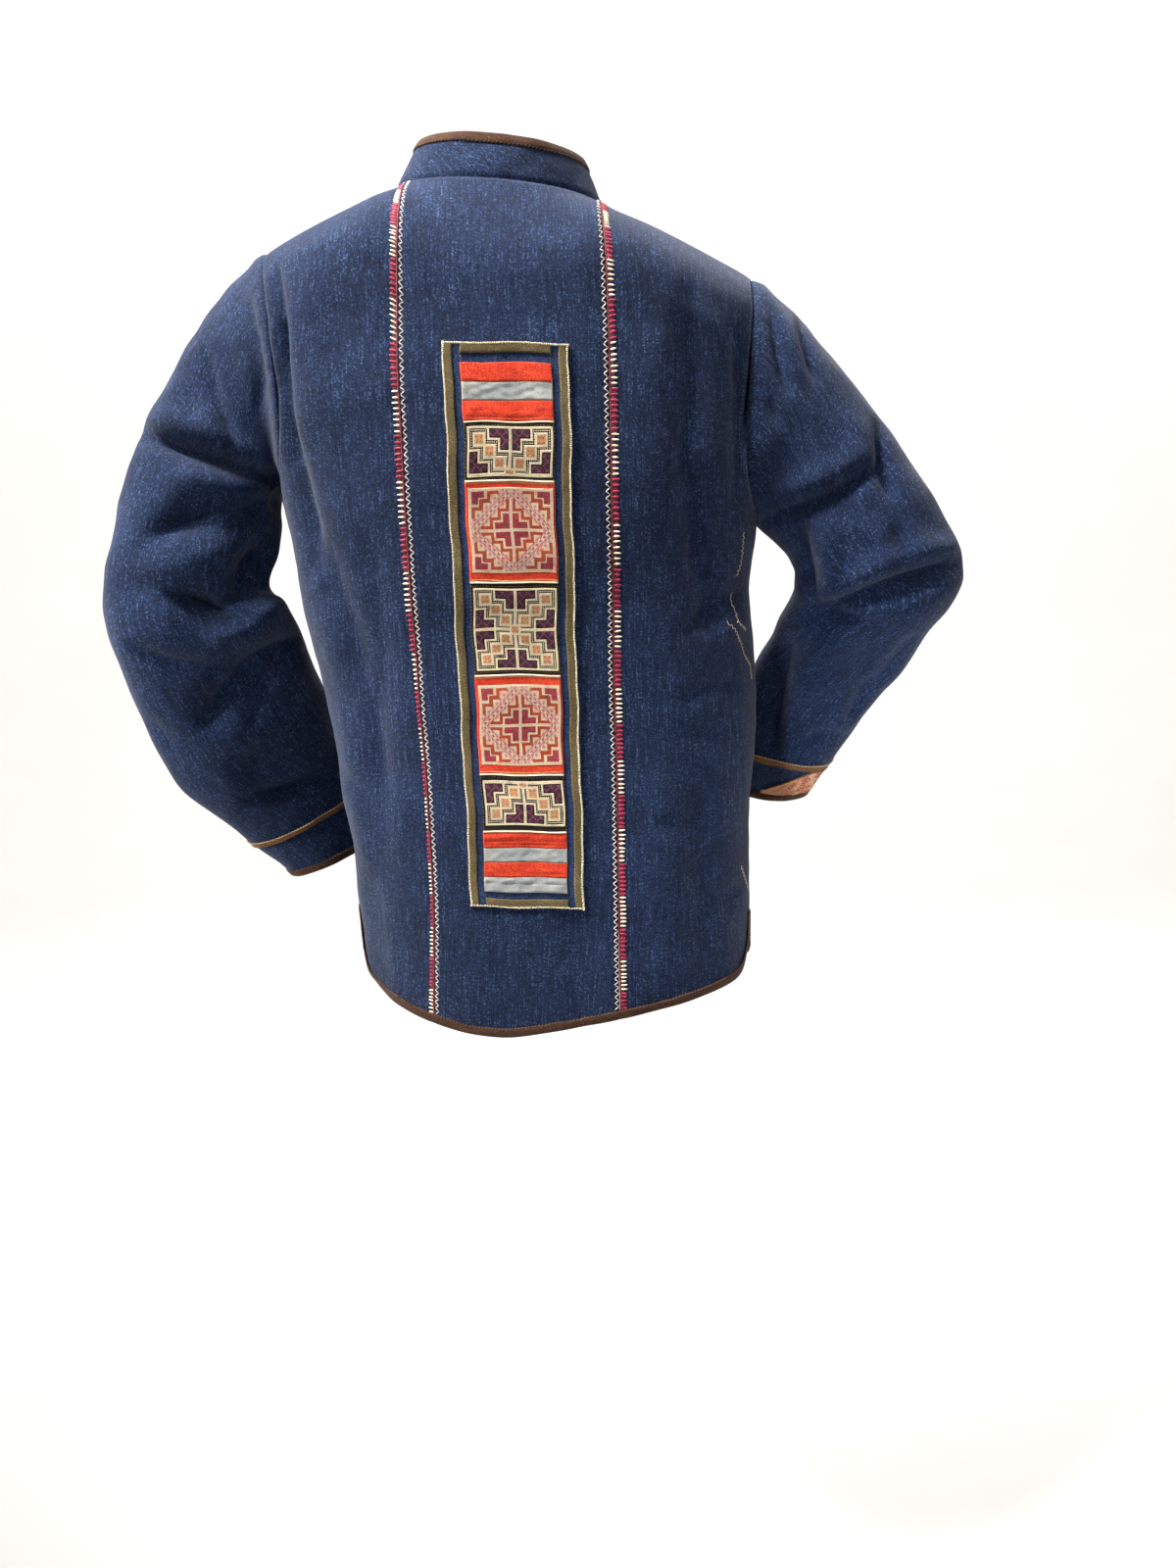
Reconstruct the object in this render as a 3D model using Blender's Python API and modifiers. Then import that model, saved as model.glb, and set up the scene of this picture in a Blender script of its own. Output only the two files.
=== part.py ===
"""An indigo hemp jacket with a stand collar, as worn with the hands on the hips.

Metres. The origin is the middle of the neck opening at the height of the collar seam.
+X is the wearer's right, +Y the way the wearer faces, and +Z up.
"""
import math

import bpy
import numpy as np

# ---------- sizes of the cloth
CLOTH = 0.0016  # wall of the indigo cloth
PLY = 0.0010  # wall of a strip that is sewn on
GAP = 0.0003  # space between two pieces that are sewn together
BIND = 0.0070  # depth of a bound edge
STRIP = 0.160  # width of the back's middle strip
SQUARE = 2.4  # 2 gives an ellipse, and more gives a squarer body
NECK = (-0.004, 0.0, 0.084, 0.061)  # centre x, centre y, half width, half depth of the collar seam
NECK_DROP = (-0.06, 0.01, 9.0, 0.055)  # the collar seam's slope to the right, and its fall to the front
COLLAR_HIGH = 0.034
PIT = {"left": -0.236, "right": -0.258}  # lowest point of each armhole
SHOULDER = {"left": -0.045, "right": -0.060}  # highest point of each armhole
SLIT = -0.600  # top of the slit at each side

# ---------- the body, a row per height
# z, left x, right x, back y, front y, turn, left seam x, right seam x
BODY = (
    (-0.700, -0.141, 0.216, -0.116, 0.122, -0.05, -0.065, 0.096),
    (-0.650, -0.142, 0.217, -0.113, 0.120, -0.05, -0.064, 0.095),
    (-0.600, -0.144, 0.216, -0.111, 0.118, -0.04, -0.063, 0.094),
    (-0.550, -0.147, 0.214, -0.108, 0.115, -0.03, -0.063, 0.093),
    (-0.500, -0.153, 0.215, -0.106, 0.111, -0.01, -0.065, 0.092),
    (-0.450, -0.158, 0.217, -0.104, 0.108, 0.00, -0.067, 0.091),
    (-0.400, -0.165, 0.219, -0.103, 0.106, 0.02, -0.069, 0.089),
    (-0.350, -0.176, 0.213, -0.104, 0.106, 0.03, -0.071, 0.088),
    (-0.318, -0.180, 0.209, -0.106, 0.107, 0.04, -0.072, 0.088),
    (-0.285, -0.184, 0.214, -0.108, 0.108, 0.05, -0.073, 0.087),
    (-0.240, -0.190, 0.217, -0.109, 0.107, 0.06, -0.074, 0.086),
    (-0.190, -0.200, 0.220, -0.109, 0.103, 0.07, -0.075, 0.085),
    (-0.140, -0.205, 0.223, -0.106, 0.097, 0.08, -0.076, 0.084),
    (-0.100, -0.208, 0.225, -0.102, 0.091, 0.08, -0.076, 0.083),
    (-0.060, -0.215, 0.228, -0.096, 0.083, 0.08, -0.075, 0.081),
    (-0.020, -0.220, 0.232, -0.088, 0.074, 0.08, -0.075, 0.078),
    (0.020, -0.224, 0.236, -0.080, 0.066, 0.08, -0.075, 0.077),
)

# ---------- the sleeves, a row per ring: the outer point, the inner point and half the thickness
# outer x, outer y, outer z, inner x, inner y, inner z, half
SLEEVE = {
    "left": (
        (-0.222, -0.005, -0.061, -0.196, 0.000, -0.240, 0.056),
        (-0.244, -0.010, -0.084, -0.197, 0.000, -0.247, 0.053),
        (-0.261, -0.015, -0.108, -0.197, -0.002, -0.254, 0.050),
        (-0.277, -0.020, -0.135, -0.197, -0.004, -0.261, 0.048),
        (-0.291, -0.025, -0.161, -0.198, -0.006, -0.268, 0.046),
        (-0.303, -0.030, -0.183, -0.199, -0.008, -0.276, 0.045),
        (-0.312, -0.034, -0.205, -0.200, -0.010, -0.284, 0.045),
        (-0.320, -0.038, -0.233, -0.202, -0.012, -0.294, 0.045),
        (-0.329, -0.042, -0.265, -0.205, -0.014, -0.303, 0.045),
        (-0.338, -0.045, -0.297, -0.207, -0.015, -0.310, 0.045),
        (-0.343, -0.045, -0.323, -0.207, -0.015, -0.316, 0.045),
        (-0.341, -0.044, -0.351, -0.203, -0.012, -0.322, 0.044),
        (-0.336, -0.040, -0.376, -0.196, -0.006, -0.331, 0.043),
        (-0.330, -0.034, -0.402, -0.190, 0.002, -0.345, 0.042),
        (-0.323, -0.026, -0.434, -0.186, 0.014, -0.362, 0.040),
        (-0.314, -0.016, -0.468, -0.184, 0.028, -0.384, 0.038),
        (-0.302, -0.006, -0.499, -0.178, 0.044, -0.410, 0.036),
        (-0.282, 0.004, -0.520, -0.172, 0.060, -0.440, 0.034),
        (-0.264, 0.012, -0.537, -0.164, 0.076, -0.472, 0.033),
        (-0.250, 0.020, -0.554, -0.156, 0.090, -0.506, 0.032),
        (-0.244, 0.023, -0.560, -0.153, 0.093, -0.513, 0.032),
        (-0.214, 0.032, -0.590, -0.137, 0.108, -0.560, 0.030),
    ),
    "right": (
        (0.224, 0.010, -0.071, 0.216, 0.006, -0.262, 0.056),
        (0.244, 0.010, -0.088, 0.222, 0.006, -0.268, 0.053),
        (0.265, 0.008, -0.111, 0.230, 0.006, -0.275, 0.050),
        (0.286, 0.006, -0.135, 0.237, 0.006, -0.281, 0.048),
        (0.306, 0.004, -0.159, 0.243, 0.006, -0.286, 0.046),
        (0.326, 0.002, -0.183, 0.247, 0.008, -0.291, 0.045),
        (0.346, 0.000, -0.208, 0.250, 0.010, -0.297, 0.045),
        (0.364, -0.002, -0.234, 0.252, 0.012, -0.302, 0.045),
        (0.381, -0.003, -0.260, 0.252, 0.015, -0.308, 0.045),
        (0.395, -0.003, -0.283, 0.252, 0.019, -0.314, 0.045),
        (0.399, 0.000, -0.305, 0.253, 0.024, -0.320, 0.045),
        (0.392, 0.006, -0.323, 0.253, 0.032, -0.327, 0.044),
        (0.381, 0.014, -0.342, 0.250, 0.044, -0.336, 0.043),
        (0.373, 0.023, -0.361, 0.245, 0.058, -0.347, 0.042),
        (0.363, 0.034, -0.385, 0.243, 0.074, -0.361, 0.040),
        (0.347, 0.048, -0.413, 0.235, 0.090, -0.381, 0.038),
        (0.331, 0.062, -0.440, 0.226, 0.106, -0.407, 0.036),
        (0.319, 0.078, -0.468, 0.215, 0.120, -0.439, 0.034),
        (0.309, 0.092, -0.488, 0.205, 0.130, -0.468, 0.032),
        (0.305, 0.096, -0.494, 0.201, 0.133, -0.475, 0.032),
        (0.289, 0.116, -0.527, 0.186, 0.146, -0.511, 0.030),
    ),
}

# ---------- the largest folds, a row per straight run: where it starts and ends, and its size
# from x, from z, to x, to z, half width, depth (below 0 is a valley)
BODY_FOLDS = {
    "back": (
        (-0.178, -0.110, -0.160, -0.200, 0.013, -0.0030),
        (-0.160, -0.200, -0.135, -0.300, 0.015, -0.0040),
        (-0.125, -0.300, -0.100, -0.380, 0.016, -0.0040),
        (-0.105, -0.400, -0.098, -0.540, 0.020, -0.0035),
        (0.150, -0.150, 0.143, -0.230, 0.016, -0.0030),
        (0.150, -0.250, 0.170, -0.340, 0.018, -0.0050),
        (0.200, -0.318, 0.150, -0.340, 0.012, -0.0040),
        (0.190, -0.420, 0.150, -0.425, 0.012, -0.0020),
    ),
    "front": (
        (-0.150, -0.170, -0.110, -0.290, 0.016, -0.0045),
        (-0.110, -0.290, -0.080, -0.400, 0.018, -0.0035),
        (0.165, -0.180, 0.130, -0.300, 0.016, -0.0045),
        (0.130, -0.300, 0.110, -0.430, 0.018, -0.0035),
    ),
}
SLEEVE_FOLDS = {
    ("left", "back"): (
        (-0.300, -0.190, -0.205, -0.225, 0.012, -0.0110),
        (-0.270, -0.245, -0.215, -0.236, 0.013, -0.0080),
        (-0.320, -0.268, -0.250, -0.286, 0.014, -0.0080),
        (-0.270, -0.325, -0.235, -0.335, 0.015, -0.0100),
        (-0.335, -0.365, -0.270, -0.378, 0.012, 0.0060),
        (-0.270, -0.378, -0.215, -0.350, 0.012, 0.0060),
        (-0.300, -0.410, -0.215, -0.420, 0.018, -0.0110),
        (-0.235, -0.475, -0.190, -0.480, 0.011, -0.0070),
    ),
    ("left", "front"): (
        (-0.300, -0.200, -0.215, -0.230, 0.014, -0.0090),
        (-0.320, -0.300, -0.225, -0.310, 0.015, -0.0090),
        (-0.300, -0.390, -0.210, -0.370, 0.014, -0.0080),
    ),
    ("right", "back"): (
        (0.228, -0.120, 0.242, -0.175, 0.010, -0.0040),
        (0.232, -0.250, 0.312, -0.215, 0.014, -0.0100),
        (0.333, -0.180, 0.342, -0.235, 0.012, -0.0050),
        (0.262, -0.262, 0.272, -0.305, 0.011, -0.0060),
        (0.262, -0.330, 0.385, -0.298, 0.012, -0.0110),
        (0.262, -0.375, 0.330, -0.345, 0.014, 0.0050),
        (0.240, -0.420, 0.300, -0.440, 0.014, -0.0050),
    ),
    ("right", "front"): (
        (0.300, -0.200, 0.235, -0.240, 0.014, -0.0090),
        (0.375, -0.295, 0.265, -0.310, 0.014, -0.0090),
        (0.340, -0.380, 0.260, -0.360, 0.014, -0.0070),
    ),
}

# ---------- the embroidered panel: heights of its rows and offsets of its columns
PANEL_TOP, PANEL_BOTTOM = -0.1275, -0.5750
OLIVE, NAVY = 0.0075, 0.0055  # widths of the two strips round the field
PANEL_WIDE = 0.0955
# name, top z, bottom z, colour
ROWS = (
    ("stripe_orange_1", -0.1420, -0.1562, "orange"),
    ("stripe_grey_1", -0.1562, -0.1700, "grey"),
    ("stripe_orange_2", -0.1700, -0.1850, "orange"),
    ("patch_black_top", -0.1850, -0.2265, "black"),
    ("patch_orange_top", -0.2265, -0.3075, "orange"),
    ("patch_black_middle", -0.3075, -0.3785, "black"),
    ("patch_orange_bottom", -0.3785, -0.4635, "orange"),
    ("patch_black_bottom", -0.4635, -0.5100, "black"),
    ("stripe_orange_3", -0.5100, -0.5235, "orange"),
    ("stripe_grey_2", -0.5235, -0.5360, "grey"),
    ("stripe_orange_4", -0.5360, -0.5490, "orange"),
    ("stripe_grey_3", -0.5490, -0.5620, "grey"),
)

# name, colour (linear red, green, blue), roughness
CLOTHS = {
    "indigo": ((0.030, 0.062, 0.150), 0.92),
    "brown": ((0.120, 0.066, 0.038), 0.88),
    "olive": ((0.190, 0.150, 0.080), 0.90),
    "navy": ((0.022, 0.045, 0.115), 0.90),
    "orange": ((0.760, 0.095, 0.035), 0.85),
    "grey": ((0.380, 0.440, 0.460), 0.85),
    "black": ((0.010, 0.009, 0.008), 0.90),
    "peach": ((0.560, 0.220, 0.110), 0.88),
}


# ---------- small tools
def spline(xs, ys, x):
    """A smooth curve through (xs, ys), level with its neighbours' slope at each point."""
    xs, ys, x = np.asarray(xs, float), np.asarray(ys, float), np.asarray(x, float)
    slope = np.gradient(ys, xs, axis=0)
    i = np.clip(np.searchsorted(xs, x) - 1, 0, len(xs) - 2)
    h = xs[i + 1] - xs[i]
    t = np.clip((x - xs[i]) / h, 0, 1)
    if ys.ndim > 1:
        h, t = h[..., None], t[..., None]
    return (
        (2 * t**3 - 3 * t**2 + 1) * ys[i]
        + (t**3 - 2 * t**2 + t) * h * slope[i]
        + (3 * t**2 - 2 * t**3) * ys[i + 1]
        + (t**3 - t**2) * h * slope[i + 1]
    )


def body_at(z):
    table = np.array(BODY)
    return np.moveaxis(spline(table[:, 0], table[:, 1:], z), -1, 0)


def ease(x):
    x = np.clip(x, 0, 1)
    return x * x * (3 - 2 * x)


def unit(v):
    return v / np.maximum(np.linalg.norm(v, axis=-1, keepdims=True), 1e-12)


def ridge(points, rows):
    """Height at each (x, z) of soft ridges and valleys that run along the rows' lines."""
    total = np.zeros(points.shape[:-1])
    for x0, z0, x1, z1, half, depth in rows:
        start, run = np.array([x0, z0]), np.array([x1 - x0, z1 - z0])
        along = ((points - start) @ run) / (run @ run)
        nearest = start + np.clip(along, 0, 1)[..., None] * run
        off = np.linalg.norm(points - nearest, axis=-1) / half
        total += depth * np.exp(-off * off) * (0.55 + 0.45 * np.sin(np.pi * np.clip(along, 0, 1)))
    return total


# ---------- the body's surface
def around(angle, z):
    """Point of the body at an angle (0 is right, 90 back, 180 left, 270 front) and a height."""
    left, right, back, front, turn, _, _ = body_at(z)
    centre, half = (left + right) / 2, (right - left) / 2
    c, s = np.cos(angle), np.sin(angle)
    reach = (np.abs(c) ** SQUARE + np.abs(s) ** SQUARE) ** (-1 / SQUARE)
    x = centre + half * c * reach
    y = np.where(s > 0, back, front) * np.abs(s) * reach + turn * (x - centre)
    return x, y


def angle_of(x, z):
    """The back's angle at this x."""
    left, right = body_at(z)[:2]
    q = (x - (left + right) / 2) / ((right - left) / 2)
    q = np.clip(q, -0.999, 0.999)
    grow = np.maximum(np.abs(1 / np.where(np.abs(q) < 1e-6, 1e-6, q)) ** SQUARE - 1, 0)
    angle = np.arctan(grow ** (1 / SQUARE))
    return np.where(q > 0, angle, np.pi - angle)


def edge_angle(side, z):
    """Angle, from the side, of the armhole's edge and of the side seam under it."""
    t = np.clip((z - PIT[side]) / 0.085, 0, 1)
    return np.radians(13 + 19 * np.sqrt(1 - (1 - t) ** 2))


def slit_half(z):
    """Half the space between the two edges of a side seam: a sewn seam, then a slit."""
    return np.where(z > SLIT + 1e-6, GAP / 2, 0.0018 + 0.0035 * (SLIT - z) / 0.09)


def neck_height(x, y):
    ahead = y + NECK[3]
    return NECK_DROP[0] * x - NECK_DROP[1] * ahead - NECK_DROP[2] * np.maximum(ahead - NECK_DROP[3], 0) ** 2


def top_of(x, face):
    """(y, z, end angle, height) of the cap that closes a column at the neck or the shoulder."""
    q = np.clip(np.abs(x - NECK[0]) / NECK[2], 0, 1)
    way = -1 if face == "back" else 1
    y_neck = NECK[1] + way * NECK[3] * np.sqrt(1 - q * q) + 0.05 * x
    z_neck = neck_height(x, y_neck)
    side_z = neck_height(np.sign(x) * NECK[2], NECK[1] + 0.05 * np.sign(x) * NECK[2])
    low = np.where(x < 0, SHOULDER["left"], SHOULDER["right"])
    far = np.where(x < 0, -0.196, 0.206)
    out = np.clip((np.abs(x) - NECK[2]) / (np.abs(far) - NECK[2]), 0, 1.2)
    z_ridge = side_z + (low - side_z) * (0.85 * out + 0.15 * out * out)
    inside = np.abs(x - NECK[0]) < NECK[2]
    y = np.where(inside, y_neck, 0.05 * x + way * GAP / 2)
    z = np.where(inside, z_neck, z_ridge)
    first = 52 if face == "back" else 58
    end = np.radians(first + (90 - first) * ease(q**3))
    high = np.where(inside, 0.075 - 0.027 * q**2, 0.048 + 0.010 * out)
    return y, z, end, high


def column(angle_at, face, heights, caps, pivot=-0.1275):
    """Points of one column: at these heights, then through the cap at the neck or shoulder."""
    top_z = -0.03
    for _ in range(8):
        x, _ = around(angle_at(top_z), top_z)
        y_end, top_z, end, high = (float(v) for v in top_of(x, face))
    base, points = top_z - high, []
    heights = np.array(heights)
    if caps:
        # The upper levels close up so that the last of them is where the cap starts.
        part = (heights - pivot) / (heights[-1] - pivot)
        heights = np.where(part > 0, pivot + part * (base - pivot), heights)
    for z in heights:
        x, y = around(angle_at(z), z)
        points.append((float(x), float(y), float(z)))
    for part in caps:
        turn = part * end
        z = base + high * math.sin(turn) / math.sin(end)
        x, y = around(angle_at(z), z)
        mix = (1 - math.cos(turn)) / (1 - math.cos(end))
        points.append((float(x), float(y) + (y_end - float(y)) * mix, z))
    return points


def side_normal(points, centre):
    """Level direction out of the body at each point of a grid."""
    x, z = points[..., 0], points[..., 2]
    left, right, back, front, turn, _, _ = body_at(np.clip(z, -0.70, 0.02))
    mid, half = (left + right) / 2, (right - left) / 2
    u = (x - mid) / half
    depth = np.where(centre < 0, np.abs(back), front)
    v = (points[..., 1] - turn * (x - mid)) / depth
    n = np.stack([np.sign(u) * np.abs(u) ** (SQUARE - 1) / half,
                  np.sign(v) * np.abs(v) ** (SQUARE - 1) / depth, np.zeros_like(u)], -1)
    return unit(n)


def onto_body(points):
    """The nearest points of the unfolded body at the same heights, under the caps."""
    left, right, back, front, turn, _, _ = body_at(points[..., 2])
    mid, half = (left + right) / 2, (right - left) / 2
    u = (points[..., 0] - mid) / half
    v = points[..., 1] - turn * (points[..., 0] - mid)
    v = v / np.where(v < 0, np.abs(back), front)
    far = (np.abs(u) ** SQUARE + np.abs(v) ** SQUARE) ** (1 / SQUARE)
    x = mid + half * u / far
    y = np.where(v < 0, np.abs(back), front) * v / far + turn * (x - mid)
    return np.stack([x, y, points[..., 2]], -1)


def into_body(path, out, up):
    """Direction from an edge of the body to the cloth a binding's depth inside it."""
    into = edge_frame(path, out)
    into *= np.sign((into * up).sum())
    return np.where(path[:, 2:3] < -0.10, unit(onto_body(path + into * BIND) - path), into)


def folded_body(points, face):
    """The grid with the body's folds pushed into it."""
    way = -1 if face == "back" else 1
    height = ridge(points[..., [0, 2]], BODY_FOLDS[face])
    weight = ease((points[..., 1] * way - 0.01) / 0.04)
    return points + side_normal(points, way) * (height * weight)[..., None]


CAPS = (0.2, 0.4, 0.6, 0.8, 1.0)
# Levels of the back's middle strip, from above the hem to under the neck.
LEVELS = (-0.660, -0.632, -0.606, -0.588, -0.566, -0.540, -0.514, -0.488, -0.462, -0.436,
          -0.410, -0.375, -0.339, -0.3175, -0.294, -0.268, -0.247, -0.2265, -0.202,
          -0.176, -0.152, -0.1275, -0.104)
SLIT_LEVEL = 2  # the slit's last level


def hem_height(x, y):
    """The hem is lowest at the middle of the back and higher on the right."""
    rise = 0.185 * x if x > 0 else 1.6 * x * x
    ahead = float(ease((y + 0.03) / 0.10))
    return -0.690 + rise * (1 - 0.4 * ahead) + 0.004 * ahead


def levels_of(side):
    """A side's levels: as the middle strip's, but with rows at the slit's top and the armpit."""
    z = np.array(LEVELS)
    low = int(np.argmin(np.abs(z - PIT[side])))
    z = np.interp(np.arange(len(z)), [0, SLIT_LEVEL, SLIT_LEVEL + 1, low, len(z) - 1],
                  [z[0], SLIT - 0.004, SLIT + 0.006, PIT[side], z[-1]])
    return z, low


def grid_of(angles, face, side, corner, lean=None):
    """Grid of points, rows from the hem up, of a piece whose columns have these angle functions.

    corner is (column at the edge, radius) for each rounded corner. lean gives how far each
    column's levels are from the middle strip's to the side's.
    """
    levels, _ = levels_of(side)
    rows = []
    for k, angle_at in enumerate(angles):
        x, y = (float(v) for v in around(angle_at(-0.68), -0.68))
        hem = hem_height(x, y)
        for at, radius in corner:
            xe, ye = (float(v) for v in around(angles[at](-0.68), -0.68))
            d = min(radius, math.hypot(x - xe, y - ye))
            hem += radius - math.sqrt(radius**2 - (radius - d) ** 2)
        share = 1.0 if lean is None else lean[k]
        own = np.array(LEVELS) * (1 - share) + levels * share
        first = np.maximum(own, hem + 0.004 * (np.arange(len(own)) + 1))
        rows.append(column(angle_at, face, [hem, *first], CAPS, -0.1275 - 0.09 * share))
    return np.array(rows).transpose(1, 0, 2)


def seam_shift(side, z, by):
    """Angle on the back at one side seam of the middle strip, moved outwards by a distance."""
    which = 5 if side == "left" else 6
    x = body_at(z)[which] + (by if side == "right" else -by)
    return angle_of(x, z)


def neck_part(side, first, last):
    """Where, from the first column (0) to the last (1), the neck opening's side is."""
    x = NECK[0] + NECK[2] * (1 if side == "right" else -1)
    at = angle_of(x, 0.0)
    return float((at - abs(first(0.0))) / (abs(last(0.0)) - abs(first(0.0))))


def side_strip_angles(side):
    """Columns of a back side strip, from its decorated seam to the armhole."""
    def first(z):
        return seam_shift(side, z, GAP / 2)

    def last(z):
        edge = edge_angle(side, z) + slit_half(z) / 0.12
        return edge if side == "right" else np.pi - edge

    neck = neck_part(side, first, last)
    parts = [0, neck] + [neck + (1 - neck) * p for p in (0.20, 0.40, 0.60, 0.78, 0.90, 0.965, 0.99, 1)]
    return [lambda z, p=p: first(z) + (last(z) - first(z)) * p for p in parts], parts


def front_angles(side):
    """Columns of a front, from the middle edge to the armhole and side seam."""
    way = 1 if side == "right" else -1

    def first(z):
        return -angle_of((body_at(z)[5] + body_at(z)[6]) / 2 + 0.0016 * way, z)

    def last(z):
        edge = edge_angle(side, z) + GAP / 2 / 0.12
        return -edge if side == "right" else -(np.pi - edge)

    neck = neck_part(side, first, last)
    parts = [neck * p for p in (0, 0.08, 0.26, 0.46, 0.66, 0.84, 0.95)] + [neck]
    parts += [neck + (1 - neck) * p for p in (0.27, 0.55, 0.80, 1)]
    return [lambda z, p=p: first(z) + (last(z) - first(z)) * p for p in parts]


def side_panel_angles(side):
    parts = (0, 0.33, 0.67, 1)

    def at(part):
        def angle(z):
            a = edge_angle(side, z) - slit_half(z) / 0.12
            b = -(edge_angle(side, z) - GAP / 2 / 0.12)
            turn = a + (b - a) * part
            return turn if side == "right" else np.pi - turn
        return angle
    return [at(p) for p in parts]


# ---------- meshes
def normals_of(grid, closed=False):
    """Normals of a grid of points, out of the cloth's face."""
    if closed:
        across = np.roll(grid, -1, 1) - np.roll(grid, 1, 1)
    else:
        across = np.gradient(grid, axis=1)
    return unit(np.cross(across, np.gradient(grid, axis=0)))


def material(name):
    found = bpy.data.materials.get(name)
    if found:
        return found
    made = bpy.data.materials.new(name)
    made.use_nodes = True
    shader = made.node_tree.nodes["Principled BSDF"]
    colour, rough = CLOTHS[name]
    shader.inputs["Base Color"].default_value = (*colour, 1)
    shader.inputs["Roughness"].default_value = rough
    return made


def add_mesh(name, points, faces, cloth):
    mesh = bpy.data.meshes.new(name)
    mesh.from_pydata([tuple(p) for p in points], [], faces)
    mesh.validate()
    obj = bpy.data.objects.new(name, mesh)
    bpy.context.scene.collection.objects.link(obj)
    own = material(cloth).copy()
    own.name = name
    mesh.materials.append(own)
    return obj


def walled(name, grid, normals, cloth, wall=CLOTH):
    """A grid as cloth with a wall, from its outer points and the normals it shares at its seams."""
    rows, columns = grid.shape[:2]
    inner = grid - normals * wall
    number = np.arange(rows * columns).reshape(rows, columns)
    rim = np.concatenate([number[0], number[1:, -1], number[-1, -2::-1], number[-2:0:-1, 0]])
    other = rows * columns
    faces = []
    for r in range(rows - 1):
        for c in range(columns - 1):
            a = [number[r, c], number[r, c + 1], number[r + 1, c + 1], number[r + 1, c]]
            faces.append([int(v) for v in a])
            faces.append([int(v) + other for v in a[::-1]])
    for a, b in zip(rim, np.roll(rim, -1)):
        faces.append([int(b), int(a), int(a) + other, int(b) + other])
    obj = add_mesh(name, np.concatenate([grid.reshape(-1, 3), inner.reshape(-1, 3)]), faces, cloth)
    turn_out(obj)
    return obj


def turn_out(obj):
    """Turns the faces round if the mesh is inside out."""
    mesh = obj.data
    corners = np.array([v.co for v in mesh.vertices])
    mesh.calc_loop_triangles()
    tris = np.array([t.vertices for t in mesh.loop_triangles])
    if np.linalg.det(corners[tris]).sum() < 0:
        mesh.flip_normals()


def sheet(name, grid, cloth, wall=CLOTH, closed=False, flip=False):
    """A grid of points as cloth with a wall, its outer face on the points."""
    rows, columns = grid.shape[:2]
    faces = []
    for r in range(rows - 1):
        for c in range(columns if closed else columns - 1):
            d = (c + 1) % columns
            a = (r * columns + c, r * columns + d, (r + 1) * columns + d, (r + 1) * columns + c)
            faces.append(a[::-1] if flip else a)
    obj = add_mesh(name, grid.reshape(-1, 3), faces, cloth)
    wall_maker = obj.modifiers.new("wall", "SOLIDIFY")
    wall_maker.thickness = wall
    wall_maker.offset = -1
    wall_maker.use_even_offset = False
    return obj


def binding(name, path, out, into, cloth="brown", ply=CLOTH, closed=False):
    """A strip folded over an edge. out is the cloth's normal, and into points into the cloth.

    ply is the fold's inner width.
    """
    near, far, thick = ply / 2 + GAP, ply / 2 + GAP + PLY, GAP + PLY
    shape = ((far, BIND), (far, -thick), (-far, -thick), (-far, BIND),
             (-near, BIND), (-near, -GAP), (near, -GAP), (near, BIND))
    middle = path - out * CLOTH / 2
    grid = np.stack([middle + out * a + into * b for a, b in shape], 1)
    count, around_it = len(path), len(shape)
    faces = []
    for r in range(count if closed else count - 1):
        s = (r + 1) % count
        for c in range(around_it):
            d = (c + 1) % around_it
            faces.append((r * around_it + c, r * around_it + d, s * around_it + d, s * around_it + c))
    if not closed:
        faces.append(tuple(range(around_it))[::-1])
        faces.append(tuple((count - 1) * around_it + c for c in range(around_it)))
    obj = add_mesh(name, grid.reshape(-1, 3), faces, cloth)
    turn_out(obj)
    return obj


def edge_frame(path, out, closed=False):
    """Direction into the cloth along an edge that has the cloth on its left, seen from outside."""
    along = np.roll(path, -1, 0) - np.roll(path, 1, 0) if closed else np.gradient(path, axis=0)
    return unit(np.cross(out, along))


def laid_on(grid, normals, across, up, lift):
    """Points on a grid's flat facets at column and row numbers that may fall between, moved out."""
    c, r = np.meshgrid(across, up)
    i = np.clip(r.astype(int), 0, grid.shape[0] - 2)
    j = np.clip(c.astype(int), 0, grid.shape[1] - 2)
    s, t = (r - i)[..., None], (c - j)[..., None]

    def mix(a):
        return ((1 - s) * ((1 - t) * a[i, j] + t * a[i, j + 1])
                + s * ((1 - t) * a[i + 1, j] + t * a[i + 1, j + 1]))
    return mix(grid) + unit(mix(normals)) * lift


def clear_scene():
    for obj in list(bpy.data.objects):
        bpy.data.objects.remove(obj)


def share(normals, first, second):
    """Gives the two sides of a seam the same normals, so that their walls stay apart."""
    mean = unit(normals[first[0]][first[1]] + normals[second[0]][second[1]])
    normals[first[0]][first[1]] = mean
    normals[second[0]][second[1]] = mean


# ---------- the body's pieces
def side_strip(side):
    angles, parts = side_strip_angles(side)
    return folded_body(grid_of(angles, "back", side, ((9, 0.028),), ease(np.array(parts))), "back")


def front(side):
    grid = grid_of(front_angles(side), "front", side, ((0, 0.016),))
    return folded_body(grid, "front")


def side_panel(side):
    """The narrow piece under the arm, from the hem to the armpit."""
    levels, low = levels_of(side)
    rows = []
    for k, angle_at in enumerate(side_panel_angles(side)):
        x, y = (float(v) for v in around(angle_at(-0.68), -0.68))
        hem = hem_height(x, y) + (0.010, 0.001, 0, 0)[k]
        first = np.maximum(levels[: low + 1], hem + 0.004 * (np.arange(low + 1) + 1))
        rows.append(column(angle_at, "back", [hem, *first], ()))
    return np.array(rows).transpose(1, 0, 2)


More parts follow.
